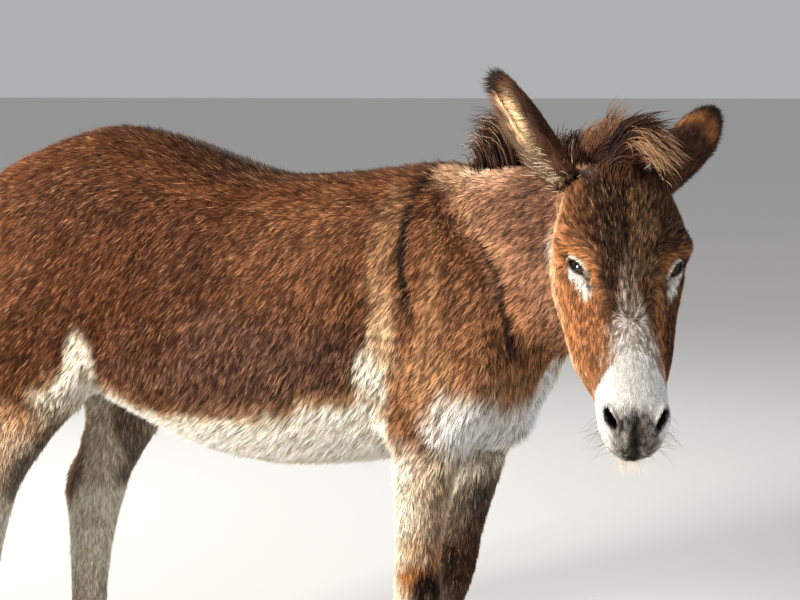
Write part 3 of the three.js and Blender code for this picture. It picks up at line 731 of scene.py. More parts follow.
def addMarks(tint, points, marks, rough):
    # Each mark covers from the distance 1 - soft, in its own sizes, fading to nothing at 1 + soft / 2.
    for mark in marks:
        d = np.sqrt((((points - mark["at"]) / mark["size"]) ** 2).sum(1)) + 0.3 * rough
        share = mark["strength"] * ease(1 + mark["soft"] * 0.5, 1 - mark["soft"], d)
        tint = mix(tint, tones[mark["tone"]], share[:, None])
    return tint


def addLines(tint, points, lines, rough):
    # Each line covers to 0.75 of its width, fading to nothing at 1.25, with its ends' widths blended between.
    for mark in lines:
        scale = np.array(mark["scale"])
        away, share = nearPolyline(points * scale, np.array(mark["line"]) * scale)
        width = mix(*mark["width"], share) * (1 + 0.35 * rough)
        strength = mark["strength"] * ease(1.25, 0.75, away / width)
        if mark.get("fade"):
            strength = strength * mix(1.0, ease(1.0, 0.85, share), 0.8)
        tint = mix(tint, tones[mark["tone"]], strength[:, None])
    return tint


def cover(tint, name, share):  # a tone laid over the colours where share is above 0
    return mix(tint, tones[name], np.clip(share, 0, 1)[:, None])


def layered(tint, *layers):  # each layer, a tone and its share, laid over the ones before it
    for name, share in layers:
        tint = cover(tint, name, share)
    return tint


def paintLegs(tint, points):
    # Below the elbow and the stifle: cream legs with tan outer sides, dark fronts to knee and hock, and faint bars.
    # Along and ahead are lengthwise places with the leg's own stride taken away.
    x, z = points[:, 0], points[:, 2]
    y, isLeft = np.abs(points[:, 1]), points[:, 1] > 0
    rough = wave(points, 0.03, 61) * 0.5 + wave(points, 0.011, 62) * 0.3
    fore = ease(0.05, 0.12, x)
    hind = 1 - fore
    limb = np.maximum(np.maximum(ease(0.21, 0.25, x), ease(-0.33, -0.39, x)), ease(0.57, 0.53, z))
    low = ease(0.64, 0.56, z + 0.03 * rough) * limb
    stepFore = np.where(isLeft, stride["fore_left"], stride["fore_right"])
    along = x - stepFore * ease(0.62, 0.48, z) * fore
    front = ease(0.315, 0.345, along + 0.012 * rough + 0.1 * np.clip(0.5 - z, 0, 0.3))
    outerFore = ease(0.285, 0.335, along + 0.012 * rough) * 0.6 * ease(0.095, 0.13, y)
    inner = isLeft * ease(0.025, -0.025, z - 0.36 - 1.6 * (along - 0.262) + 0.03 * rough) * ease(0.2, 0.28, z)
    shin = ease(0.338, 0.358, along + 0.008 * rough) * ease(0.47, 0.4, z) * ease(0.24, 0.3, z)
    flat = np.stack([along, 0 * x, z], -1)
    knee = inside(flat, np.array([0.312, 0, 0.405]), np.array([0.09, 1, 0.085])) * fore * np.where(isLeft, 0.2, 1)
    patch = inside(flat, np.array([0.335, 0, 0.36]), np.array([0.045, 1, 0.062])) * fore
    hindLow = ease(0.62, 0.5, z + 0.03 * rough) * hind * limb
    outerHind = ease(0.125, 0.155, y + 0.008 * rough)
    middle = np.interp(z, [0.05, 0.3, 0.41, 0.5, 0.6], [-0.575, -0.586, -0.572, -0.532, -0.48])
    stepHind = np.where(isLeft, stride["hind_left"], stride["hind_right"])
    ahead = x - middle - stepHind * ease(0.62, 0.48, z)
    hindFront = ease(0.66, 0.6, z) * ease(0.034, 0.06, ahead + 0.01 * rough) * ease(0.3, 0.42, z)
    hindBackDarkAndShade = ease(-0.012, -0.04, ahead + 0.01 * rough) * ease(0.6, 0.54, z) * ease(0.37, 0.42, z)
    bars = np.sin(z * 92 + 2.5 * wave(points, 0.05, 63)) * 0.5 + 0.5
    bars = ease(0.45, 0.85, bars) * ease(0.52, 0.44, z) * ease(0.13, 0.2, z)
    return layered(
        tint,
        ("legGrey", low * fore),
        ("cream", low * fore * ease(0.35, 0.29, x + 0.02 * rough) * 0.9),
        ("tan", low * fore * outerFore),
        ("gingerBrown", low * fore * ease(0.5, 0.9, front + 0.3 * rough) * ease(0.56, 0.44, z) * 0.45),
        ("stripe", fore * inner * ease(0.56, 0.5, z) * 0.85),
        ("umber", low * fore * shin * 0.8),
        ("ginger", 1.15 * knee * (0.7 + rough)),
        ("stripe", 2.2 * patch * (0.75 + rough)),
        ("tan", ease(0.665, 0.56, z + 0.03 * rough) * hind * limb * 0.7),
        ("legGrey", hindLow),
        ("tan", hindLow * outerHind * ease(0.4, 0.52, z) * 0.75),
        ("stripe", hind * limb * hindFront * 0.75),
        ("cream", hindLow * ease(0.46, 0.41, z) * ease(0.22, 0.3, z)),
        # dark hair at the back of the gaskin, deepened by painted shade on the inner side of the hind legs
        ("umber", hind * limb * hindBackDarkAndShade * ease(0.16, 0.13, y) * 0.9),
        ("umber", bars * 0.22 * (0.5 + rough)),
        ("tan", ease(0.22, 0.12, z) * 0.5 * (0.8 + rough)),
        ("umber", ease(0.085, 0.06, z + 0.008 * rough) * 0.75),
    )


jawLine = np.array([
    (0.05, 0.086, -0.045), (0.12, 0.098, -0.06), (0.16, 0.092, -0.1), (0.22, 0.072, -0.125), (0.3, 0.054, -0.1)
])
ductLine = np.array([(0.018, -0.002, 0), (0.028, -0.005, 0), (0.04, -0.008, 0)])  # along, up and out from an eye
palePatch = np.array([(0.0, -0.01, 0), (0.018, -0.0125, 0), (0.035, -0.014, 0)])


def paintEye(face, points, rough, side):
    # Round one eye: ginger over it, a cream ring, a white patch below towards the nose, and the dark lids.
    centre, slit, brow, out = eyeAxes(side)
    q = points - centre
    u, v, w = q @ slit, q @ brow, q @ out
    away, _ = lidCurve(u, v)
    close = (w > -0.012) & (np.hypot(u, v) < 0.07)
    flat = np.stack([u, v, 0 * u], -1)
    duct, below = nearPolyline(flat, ductLine)[0], nearPolyline(flat, palePatch)[0]
    ring = np.maximum(ease(-0.01, 0.004, u), ease(-0.004, 0.003, v))
    return layered(
        face,
        ("ginger", ease(0.03, 0.016, away + 0.006 * rough) * ease(-0.004, 0.006, v) * close * 0.5),
        ("cream", ease(0.0095, 0.004, away + 0.003 * rough) * ease(-0.002, 0.004, v) * close * 0.8),
        ("cream", ease(0.0052, 0.0026, away + 0.0018 * rough) * ring * close * 0.85),
        ("cream", ease(0.016, 0.005, below + 0.008 * rough) * close * 0.5),
        ("white", ease(0.0105, 0.002, below + 0.006 * rough + 0.1 * np.clip(u - 0.016, 0, 0.03)) * close * 0.7),
        ("muzzleGrey", ease(0.0034, 0.0012, duct + 0.0014 * rough) * close * 0.75),
        ("black", ease(0.0022, 0.0012, away) * close * 0.95),
    )


def paintHead(tint, points):
    # The face in the head's frame: a down it, s out from its middle, r up from it. It is ginger with a dark brow,
    # a grey and white stripe down to the white muzzle, and grey round the nostrils and the lips; painted shade
    # darkens the far side of the face.
    h = folded(toHead(points))
    a, s, r = h.T
    leftward = toHead(points)[:, 1]
    farShadeOut = s * ((leftward > 0) * 1.0)
    rough = 0.5 * wave(points, 0.022, 71) + 0.35 * wave(points, 0.008, 72)
    on = headShare(points)
    on = np.maximum(on, ease(0.05, 0.0, np.abs(a + 0.01)) * ease(0.14, 0.11, s) * ease(-0.09, -0.04, r))
    crown = np.sqrt(((a - 0.065) / 0.15) ** 2 + ((s - 0.012 * np.sign(leftward)) / 0.092) ** 2)
    browLine = [0.0, 0.056, 0.134, 0.171, 0.209, 0.25, 0.3], [0.034, 0.033, 0.028, 0.024, 0.019, 0.016, 0.02]
    offBrow = np.abs(s - np.interp(a, *browLine))
    flecks = 0.3 + 0.7 * ease(-0.1, 0.6, wave(points, 0.0045, 77))
    beside = ease(0.0, 0.012, leftward) * ease(0.056, 0.038, leftward) * ease(0.01, 0.07, a) * ease(0.27, 0.21, a)
    dim = ease(-0.042, -0.028, leftward) * ease(0.006, -0.002, leftward) * ease(0.0, 0.05, a) * ease(0.24, 0.17, a)
    half = np.interp(a, [0.12, 0.15, 0.2, 0.255, 0.3], [0.002, 0.006, 0.011, 0.018, 0.032])
    speck = ease(-0.2, 0.5, wave(points, 0.0035, 75) + 0.4)
    grey = ease(1.7, 0.5, s / half + 0.8 * rough) * ease(0.14, 0.23, a)
    pale = ease(1.3, 0.5, s / half + 0.4 * rough) * ease(0.225, 0.3, a)
    middle = ease(0.0045, 0.0012, s + 0.002 * rough) * ease(0.09, 0.13, a) * ease(0.262, 0.24, a)
    jaw = nearPolyline(h, jawLine)[0]
    edge = 0.309 + 0.036 * (s / 0.045) ** 2 + 0.1 * np.clip(-r - 0.045, 0, 0.06) + 0.006 * rough
    dark = np.sqrt(((a - 0.43) / 0.041) ** 2 + ((s - 0.003) / 0.034) ** 2 + ((r + 0.036) / 0.052) ** 2)
    dark = dark + 0.35 * rough
    mottle = 0.74 + 0.26 * ease(-0.3, 0.5, wave(points, 0.0042, 76))
    lip = nearPolyline(h, np.array(faceLines[2]["line"]))[0]
    rim = nostrilShare(points)
    face = layered(
        np.tile(tones["cheek"], (len(points), 1)),
        ("gingerBrown", 0.45 + rough * 0.8),
        ("forehead", ease(1.2, 0.6, crown + 0.35 * rough) * 0.95),
        ("forehead", ease(0.026, 0.008, offBrow + 0.01 * rough) * ease(0.31, 0.25, a) * 0.9),
        ("stripe", ease(0.01, 0.003, offBrow + 0.006 * rough) * ease(0.275, 0.22, a) * ease(0.03, 0.1, a) * 0.5),
        # painted shade: the far side of the face darkened with the forehead and umber tones
        ("forehead", ease(0.045, 0.062, farShadeOut + 0.008 * rough) * ease(0.36, 0.29, a) * 0.8),
        ("umber", ease(0.04, 0.056, farShadeOut + 0.008 * rough) * ease(0.37, 0.33, a) * 0.5),
        ("tan", beside * flecks * 0.42),
        ("stripe", dim * 0.55),
        ("midGrey", grey * 0.85 * mix(speck, 1, ease(0.26, 0.31, a))),
        ("white", pale * mix(speck, 1, ease(0.28, 0.31, a)) * 0.6),
        ("stripe", middle * 0.65),
        ("paleTan", ease(0.03, 0.008, jaw + 0.008 * rough) * 0.5),
        ("legGrey", ease(-0.115, -0.15, r + 0.01 * rough) * 0.85),
        ("white", ease(-0.007, 0.008, a - edge)),
        ("muzzleGrey", ease(1.35, 0.65, dark) * mottle),
        ("stripe", ease(0.012, 0.003, s + 0.004 * rough) * ease(0.385, 0.415, a) * 0.7),
        ("black", ease(0.014, 0.004, np.hypot(s, 0.6 * (a - 0.425)) + 0.003 * rough) * ease(0.405, 0.42, a) * 0.6),
        ("black", ease(0.0085, 0.004, lip + 0.002 * rough) * 0.85),
        ("muzzleGrey", ease(1.5, 1.1, rim) * 0.55),
        ("black", ease(1.12, 0.95, rim) * 0.96),
    )
    for side in (1, -1):
        face = paintEye(face, points, rough, side)
    return mix(tint, face, on[:, None])


def paintAt(points):
    # The colour of the coat at any place on the skin, laid on from the largest mark to the smallest.
    both = folded(points)
    x, y, z = both.T
    rough = wave(points, 0.03, 51) * 0.6 + wave(points, 0.01, 52) * 0.4
    tint = addMarks(np.tile(tones["chocolate"], (len(points), 1)), both, bodyMarks, rough)
    under = z - np.interp(x, bellyEdge["x"], bellyEdge["z"])
    onTrunk = ease(-0.47, -0.4, x) * ease(0.275, 0.255, x)
    tint = layered(
        tint,
        ("tan", ease(0.04, 0.0, under + 0.02 * rough) * onTrunk * 0.6),
        ("cream", ease(0.016, -0.012, under + 0.02 * rough) * onTrunk),
        ("cream", ease(0.1, 0.075, y) * ease(0.8, 0.72, z) * ease(0.3, 0.0, x)),
    )
    tint = addMarks(tint, points, neckMarks, rough)
    tint = paintLegs(tint, points)
    tint = addLines(tint, both, bodyLines, rough)
    tint = addLines(tint, points, neckLines, rough)
    tint = cover(tint, "chestnut", ease(-0.672, -0.69, x) * ease(0.6, 0.65, z) * 0.8)  # the tail
    return paintHead(tint, points)


def lieOf(points, normals):
    # Which way the hair points at each place, along the skin: back and down over the body, down the legs,
    # and on the face away from the whorl between the eyes.
    x, y, z = points.T
    side = np.sign(y)
    back = ease(0.97, 1.06, z)
    neck = ease(0.36, 0.46, x) * ease(0.7, 0.8, z)
    ways = [
        ((-0.92, 0, -0.38), back * ease(0.36, 0.26, x)),
        ((-0.6, 0, -0.8), ease(-0.16, -0.36, x) * ease(0.62, 0.72, z) * 0.8),  # rump
        ((-0.74, 0, -0.66), ease(0.72, 0.62, z) * ease(0.26, 0.18, x) * ease(-0.42, -0.34, x)),  # belly
        ((-0.1, 0, -1.0), ease(0.62, 0.52, z)),  # legs
        ((-0.62, 0.34, -0.7), neck),
        ((-0.15, 0, -1.0), ease(0.42, 0.5, x) * ease(0.84, 0.76, z) * ease(0.56, 0.62, z)),  # breast
    ]
    way = np.tile(np.array([-0.42, 0, -0.9]), (len(points), 1))
    for ahead, share in ways:
        way = mix(way, np.array(ahead), share[:, None])
    way[:, 1] += 0.25 * side * back * ease(0.36, 0.26, x) + 0.1 * side * (1 - neck)
    tail = ease(-0.668, -0.69, x) * ease(0.5, 0.6, z)
    way = mix(way, np.array([-0.05, 0, -1.0]), tail[:, None])
    # On the face the hair turns from down, through outwards, to up, round a whorl that lies higher on the cheeks.
    a, s, r = toHead(points).T
    far = np.abs(s)
    whorl = 0.262 - 0.115 * ease(0.012, 0.062, far)
    turn = math.pi * ease(1, -1, (a - whorl) / (0.014 + 0.9 * far))
    face = np.stack([np.cos(turn), np.sign(s) * (np.sin(turn) * ease(0, 0.01, far) + 0.14), 0 * a], -1)
    cheek = ease(-0.045, -0.085, r) * ease(0.36, 0.3, a)
    face = mix(face, np.array([0.7, 0, -0.62]), cheek[:, None])
    way = mix(way, face @ headAxes, headShare(points)[:, None])
    sweep = np.stack([wave(points, 0.055, k) + 0.6 * wave(points, 0.016, k + 5) for k in (81, 82, 83)], -1)
    way = way + 0.13 * sweep
    return unit(way - normals * (way * normals).sum(1)[:, None])


# The coat: each tuft is a slim three-sided spike rooted in the skin. Its length, width, lift and closeness
# change over the body, and all of them waver in streaks along the lie of the hair.
coatMake = {
    "tufts": 430000,
    "long": 0.012,  # on the barrel
    "wide": 0.0019,
    "lift": 0.5,  # sine of the angle to the skin
    "clump": 0.0036,  # pitch of the streaks
    "faceClump": 0.0028,
    "fineClump": 0.0017,
    "rootShade": 0.3,
    "tipShade": 1.25,
    "glint": (0.018, 0.011, 0.005),
    "contrast": 1.15,  # of the streaks, then of the fine streaks and from tuft to tuft
    "fine": 0.48,
    "chance": 0.85,
    "patch": 0.003,
}


def scatter(points, triangles, weight, wanted):
    # Evenly strewn places: triangles are taken in turn by area times weight, and within each the place is
    # a + u(b - a) + v(c - a) with u + v folded below 1.
    a, b, c = (points[triangles[:, k]] for k in range(3))
    share = np.linalg.norm(np.cross(b - a, c - a), axis=1) * weight[triangles].mean(1)
    total = np.cumsum(share)
    at = (np.arange(wanted) + draw.random(wanted)) / wanted * total[-1]
    face = np.minimum(np.searchsorted(total, at), len(triangles) - 1)
    u, v = draw.random((2, wanted))
    over = u + v > 1
    u, v = np.where(over, 1 - u, u), np.where(over, 1 - v, v)
    return face, np.stack([1 - u - v, u, v], -1)


def atPlaces(values, triangles, face, share):  # values at the corners of a triangle blended at a place in it
    return sum(values[triangles[face, k]] * (share[:, k, None] if values.ndim > 1 else share[:, k]) for k in range(3))


def closeness(points):
    # Tufts per area against the barrel's.
    h = toHead(points)
    head = headShare(points)
    leg = legShare(points)
    many = np.full(len(points), 1.0)
    many = mix(many, 0.62, ease(0.1, 0.06, np.abs(points[:, 1])) * ease(0.72, 0.66, points[:, 2]) * (1 - head))
    many = mix(many, 1.05, leg)
    many = mix(many, 1.3, ease(0.4, 0.46, points[:, 0]) * (1 - head) * ease(0.7, 0.76, points[:, 2]))
    many = mix(many, mix(2.6, 4.6, ease(0.15, 0.4, h[:, 0])), head)
    return np.where((eyeGap(points) < 0.0012) | (nostrilShare(points) < 0.9), 0.0, many)


def eyeGap(points):  # how far outside the lids' almond a point of the skin lies; large away from the eyes
    gap = np.full(len(points), 1.0)
    for side in (1, -1):
        centre, slit, brow, out = eyeAxes(side)
        q = points - centre
        away, _ = lidCurve(q @ slit, q @ brow)
        gap = np.where((np.linalg.norm(q, axis=1) < 0.05) & (q @ out > 0), away, gap)
    return gap


def coatForm(points):
    # Length, width and lift of the tufts at each place: the barrel's, changed part by part by a share.
    x, _, z = points.T
    leg = legShare(points)
    face = ease(0.03, 0.36, toHead(points)[:, 0])
    offEdge = z - np.interp(x, bellyEdge["x"], bellyEdge["z"])
    fringe = np.exp(-((offEdge / 0.02) ** 2)) * ease(0.27, 0.25, x) * (1 - leg)
    parts = [
        (ease(0.7, 0.63, z) * ease(0.3, 0.26, x) * ease(-0.42, -0.36, x), 0.024, None, 0.42),  # belly
        (ease(1.02, 1.08, z) * ease(0.38, 0.3, x), 0.0165, None, 0.52),  # back
        (ease(0.38, 0.46, x) * ease(0.72, 0.8, z), 0.0115, 0.0017, None),  # neck
        (ease(0.34, 0.38, x) * ease(0.76, 0.7, z) * ease(0.56, 0.6, z), 0.02, None, 0.46),  # breast
        (leg, 0.0115, 0.0016, 0.4),
        (ease(0.45, 0.12, z), 0.009, None, 0.3),  # lower legs
        (fringe * 0.7, 0.021, None, None),  # along the belly's edge
        (headShare(points), mix(0.0105, 0.0045, face), mix(0.0014, 0.0008, face), mix(0.4, 0.3, face)),
        (ease(0.016, 0.003, eyeGap(points)), 0.0042, 0.0007, 0.25),  # round the eyes
    ]
    form = [np.full(len(points), coatMake[key]) for key in ("long", "wide", "lift")]
    for share, *wanted in parts:
        form = [old if new is None else mix(old, new, share) for old, new in zip(form, wanted)]
    return form


def streaks(points, way, pitch, seed):
    # Noise drawn out along the hair: the mean of one noise at five places along the lie.
    total = 0
    for step in (-1.3, -0.6, 0, 0.6, 1.3):
        total = total + wave(points + way * (step * pitch), pitch, seed)
    return total / 5 * 1.9


def tufts(roots, normals, way, length, width, lift, tint, shade, facing=None):
    # One spike for each root: left and right corners and a ridge at the root, and a tip at
    # root + length (way cos + normal sin). The root's corners lie a little within the skin.
    count = len(roots)
    across = unit(np.cross(normals, way))
    rise = np.clip(lift, 0.05, 0.9)
    aim = way * np.sqrt(1 - rise**2)[:, None] + normals * rise[:, None]
    sunk = roots - normals * 0.0006
    half = (width / 2)[:, None]
    left, right = sunk - across * half, sunk + across * half
    ridge = roots + normals * (half * 0.9)
    tip = roots + aim * length[:, None]
    points = np.stack([left, right, ridge, tip], 1).reshape(-1, 3)
    k = np.arange(count)[:, None, None] * 4
    faces = (k + np.array([[0, 3, 2], [2, 3, 1], [1, 3, 0]])[None]).reshape(-1, 3)
    facing = normals if facing is None else facing
    soft = [facing * 0.6 - across * 0.75, facing * 0.6 + across * 0.75, facing + aim * 0.1, facing * 0.8 + aim * 0.25]
    soft = np.stack(soft, 1).reshape(-1, 3)
    # Painted shade darkens each tuft towards its root, its tip is lightened as a painted highlight, and a painted
    # glint is added at the tip.
    base = coatMake["rootShade"]
    shades = np.array([base, base, mix(base, 1, 0.4), coatMake["tipShade"]])
    colours = tint[:, None, :] * (shades[None, :] * shade[:, None])[..., None]
    colours[:, 3] += np.array(coatMake["glint"]) * (shade**1.5)[:, None]
    colours = colours.reshape(-1, 3)
    return points, faces, unit(soft), colours


def patches(place, count):  # each tuft's corners within its own small patch of the unwrap
    h = coatMake["patch"] / 2
    corners = np.array([[-h, -h], [h, -h], [0, 0], [0, h]])
    return (place[:, None] + corners[None, :count]).reshape(-1, 2)


def setPatches(mesh, flat, loops):  # the unwrap, told for each point and set at each corner
    layer = mesh.uv_layers.new(name="OFBake")
    layer.data.foreach_set("uv", flat[loops.ravel()].astype(np.float32).ravel())


def fitted(place):  # each column brought between 0.01 and 0.99
    low, high = place.min(0), place.max(0)
    return 0.01 + 0.98 * (place - low) / np.maximum(high - low, 1e-6)


def unwrap(part, points):
    # An unwrap of the skin by part: the angle round the part's own axis against the length along it.
    x, y, z = points.T
    if part.startswith("head"):
        a, s, r = toHead(points).T
        return fitted(np.stack([np.arctan2(np.abs(s), -(r + 0.055)), a], -1))
    if part.startswith("neck"):
        along = (points - [0.42, -0.05, 0.93]) @ unit(np.array([0.62, -0.55, 0.25]))
        return fitted(np.stack([np.arctan2(y + 0.05 + 0.75 * (x - 0.42), z - 0.92), along], -1))
    if part.startswith("legs"):
        far = np.where(y > 0, 1.0, 0.0)
        middle = np.where(x > 0, 0.31, -0.555)
        turn = np.arctan2(np.abs(y) - legTrack, x - middle) / (2 * math.pi) + 0.5
        return fitted(np.stack([far * 1.05 + turn, z], -1))
    return fitted(np.stack([np.arctan2(np.abs(y), -(z - 0.84)), x], -1))


partNames = [
    "head_left", "head_right", "neck_left", "neck_right", "legs_fore", "legs_hind",
    "shoulder_left", "shoulder_right", "barrel_left", "barrel_right", "rump_left", "rump_right",
]


def partOf(points):  # the index in partNames of each place
    x, y, _ = points.T
    s = toHead(points)[:, 1]
    isLeft = y > 0
    return np.select(
        [headShare(points) > 0.5, legShare(points) > 0.5, x > 0.43, x > 0.22, x > -0.22],
        [np.where(s > 0, 0, 1), np.where(x > 0, 4, 5), np.where(y > 0.75 * (0.42 - x), 2, 3),
         np.where(isLeft, 6, 7), np.where(isLeft, 8, 9)],
        np.where(isLeft, 10, 11),
    )


def coatPiece(name, made, place, material):  # a piece of tufts, with their soft normals
    points, faces, soft, colours = made
    mesh = makeMesh(name, points, faces)
    setTint(mesh, np.clip(colours, 0, 1))
    setPatches(mesh, patches(place, 4), faces)
    normal = mesh.attributes.new("custom_normal", "FLOAT_VECTOR", "POINT")
    normal.data.foreach_set("vector", soft.astype(np.float32).ravel())
    return addPiece(mesh, material, "coat")


print("coat: colours of the skin")
skinPoints, skinNormals, skinTriangles = pointsOf(skin), normalsOf(skin), trianglesOf(skin)
skinTint = paintAt(skinPoints)
# painted shade: the skin under the coat is darkened to 0.62 of the coat's colour
setTint(skin, skinTint * 0.62)

print("coat: strewing tufts")
face, share = scatter(skinPoints, skinTriangles, closeness(skinPoints), coatMake["tufts"])
roots = atPlaces(skinPoints, skinTriangles, face, share)
normals = unit(atPlaces(skinNormals, skinTriangles, face, share))
way = lieOf(roots, normals)
length, width, lift = coatForm(roots)
head = headShare(roots)
pitch = np.array([coatMake["clump"], coatMake["faceClump"]])
streak = mix(*(streaks(roots, way, p, 91) for p in pitch), head)
fine = streaks(roots, way, coatMake["fineClump"], 92)
chance = draw.random((4, len(roots)))
bend = np.cross(normals, way) * ((chance[0] - 0.5) * 0.42 + 0.14 * fine)[:, None]
way = unit(way + bend)
length = length * (0.72 + 0.55 * chance[1]) * (1 + 0.18 * streak)
lift = lift * (0.7 + 0.5 * chance[2] + 0.35 * streak)
jitter = roots + (draw.random((len(roots), 3)) - 0.5) * np.minimum(length * 0.5, 0.006)[:, None]
tint = paintAt(jitter)
pale = (draw.random(len(roots)) < mix(0.07, 0.05, head)) * (1 - head * ease(0.27, 0.33, toHead(roots)[:, 0]))
tint = mix(tint, np.minimum(mix(tones["tan"], tint, 0.4) * 1.15, 0.8), (pale * 0.65)[:, None])
quiet = (1 - 0.55 * head * ease(0.27, 0.36, toHead(roots)[:, 0])) * (1 - 0.45 * legShare(roots))
# The streaks are partly the coat's own uneven tone and partly painted shade in the gaps between clumps of hair.
grain = coatMake["contrast"] * streak + coatMake["fine"] * fine + coatMake["chance"] * (chance[3] - 0.5)
shade = np.exp(quiet * grain + 0.12 * wave(roots, 0.045, 93))
shade = np.clip(shade, 0.28, 2.1)
made = partOf(roots)

earCoat = {"tufts": 17000, "long": 0.008, "wide": 0.0013, "lift": 0.42}


def paintEar(points, up, across, within, side):
    # Brown outside with a ginger band, a cream lining, and a black tip. Up and across are shares of the leaf,
    # and within is 1 on its inner sheet.
    rough = 0.6 * wave(points, 0.016, 101) + 0.4 * wave(points, 0.006, 102)
    rim = np.abs(across)
    band = ease(0.56, 0.66, up + 0.05 * rough) * ease(0.86, 0.78, up + 0.06 * rough)
    bandShare, edgeShare = earForm[side]["band"], earForm[side]["edge"]
    foot = ease(0.55, 0.9, across * sideSign[side]) * ease(0.5, 0.2, up + 0.1 * rough)
    outside = layered(
        np.tile(tones["umber"], (len(points), 1)),
        ("chestnut", ease(0.5, 0.15, up + 0.1 * rough) * 0.5),
        ("stripe", ease(0.35, 0.9, rim + 0.2 * rough) * 0.5 * ease(0.1, 0.3, up)),
        ("ginger", band * bandShare * ease(1.0, 0.55, rim)),
        ("legGrey", foot * edgeShare),
    )
    lining = layered(
        np.tile(tones["earCream"], (len(points), 1)),
        ("tan", ease(0.4, 0.0, rim) * 0.25),
        ("stripe", ease(0.86, 0.97, rim + 0.06 * rough) * 0.9),
    )
    tint = mix(outside, lining, ease(0.4, 0.6, within)[:, None])
    tint = cover(tint, "chestnut", ease(0.76, 0.82, up + 0.04 * rough) * 0.8)
    return cover(tint, "black", ease(0.83, 0.9, up + 0.05 * rough))


print("ears")
earParts = {}


def joinEars():
    # One skin of the body and both leaves, with the body's points first.
    allPoints, allFaces, allTint = [skinPoints], [skinTriangles], [skinTint]
    for side in ("right", "left"):
        points, faces, up, across, within = earSkin(side)
        ear = facesOutward(makeMesh("ear", points, faces))
        earParts[side] = (pointsOf(ear), normalsOf(ear), trianglesOf(ear), up, across, within)
        allFaces.append(trianglesOf(ear) + sum(len(p) for p in allPoints))
        allPoints.append(points)
        allTint.append(paintEar(points, up, across, within, side))
    joined = makeMesh("skin_whole", np.vstack(allPoints), np.vstack(allFaces))
    # painted shade: the joined skin is darkened to 0.45 of the coat's colour
    setTint(joined, np.vstack(allTint) * 0.45)
    return joined


whole = joinEars()
print("skin and ears:", len(whole.polygons), "triangles")


def earTufts(side):
    # Hair along the leaf towards its tip: outwards at the rims, longer and paler inside, where painted light also
    # lifts the tint.
    points, normals, faces, up, across, within = earParts[side]
    axis, mouth, crosswise = earAxes(side)[1:]
    weight = 1 + 1.6 * ease(0.75, 0.95, np.abs(across)) + 0.8 * ease(0.8, 0.95, up)
    face, share = scatter(points, faces, weight, earCoat["tufts"])
    at = lambda values: atPlaces(values, faces, face, share)
    root, normal, t, s, inner = at(points), unit(at(normals)), at(up), at(across), at(within)
    rim = ease(0.72, 0.98, np.abs(s))
    way = axis + (np.sign(s) * mix(0.15, 0.75, inner))[:, None] * crosswise + (0.5 * inner * rim)[:, None] * mouth
    way = way + 0.3 * np.stack([wave(root, 0.02, k) for k in (111, 112, 113)], -1)
    way = unit(way - normal * (way * normal).sum(1)[:, None])
    chance = draw.random((4, len(root)))
    tip = ease(0.8, 0.95, t)
    longer = 1 + 0.8 * rim + 0.25 * tip + inner * (0.9 + 2.2 * ease(0.45, 0.12, t))
    length = earCoat["long"] * (0.7 + 0.6 * chance[0]) * longer
    width = earCoat["wide"] * (0.8 + 0.4 * chance[1])
    lift = earCoat["lift"] * (0.6 + 0.6 * chance[2]) + 0.25 * rim + 0.12 * tip + 0.2 * inner
    tint = paintEar(root + (draw.random(root.shape) - 0.5) * 0.006, t + 0.02 * (chance[3] - 0.5), s, inner, side)
    shade = np.exp(0.55 * streaks(root, way, 0.0045, 114) + 0.5 * (chance[3] - 0.5))
    place = np.stack([0.02 + 0.48 * inner.round() + 0.22 * (s + 1), 0.01 + 0.98 * t], -1)
    facing = unit(mix(normal, mouth + 0.3 * normal, 0.8 * inner[:, None]))
    # painted light: the inner hair's tint raised by up to a quarter
    tint = np.minimum(tint * (1 + 0.25 * inner)[:, None], 0.92)
    return tufts(root, normal, way, length, width, lift, tint, shade, facing), place


def locks(roots, first, last, length, width, tint, tipTint, steps=5):
    # Each lock is a three-sided tube along a quadratic curve: it leaves its root along `first`, ends along
    # `last`, and tapers as (1 - t^2).
    count = len(roots)
    t = np.linspace(0, 1, steps + 1)[None, :, None]
    one = roots[:, None] + first[:, None] * (length / 2)[:, None, None]
    two = one + last[:, None] * (length / 2)[:, None, None]
    path = roots[:, None] * (1 - t) ** 2 + one * 2 * t * (1 - t) + two * t**2
    ahead = unit(2 * (one - roots[:, None]) * (1 - t) + 2 * (two - one) * t)
    side = unit(np.cross(ahead, np.array([0.31, 0.23, 0.92])))
    over = np.cross(side, ahead)
    half = (width / 2)[:, None, None] * (1 - 0.92 * t**2)
    turn = draw.random(count)[:, None, None] * 6.28
    corners = [path + (side * np.cos(turn + k) + over * np.sin(turn + k)) * half for k in (0, 2.094, 4.189)]
    points = np.stack(corners, 2).reshape(-1, 3)
    ring = np.arange(steps)[:, None, None] * 3
    k = np.arange(3)[None, :, None]
    n = (k + 1) % 3
    quad = np.concatenate([ring + k, ring + n, ring + 3 + n, ring + 3 + k], -1).reshape(-1, 4)
    tube = np.vstack([quad[:, [0, 1, 2]], quad[:, [0, 2, 3]], [[2, 1, 0], [3 * steps, 3 * steps + 1, 3 * steps + 2]]])
    faces = (np.arange(count)[:, None, None] * 3 * (steps + 1) + tube[None]).reshape(-1, 3)
    colours = mix(tint[:, None], tipTint[:, None], t**1.4)
    # painted shade darkens each lock towards its root
    colours = colours * (0.55 + 0.5 * t**0.5)
    return points, faces, np.repeat(colours, 3, axis=1).reshape(-1, 3)


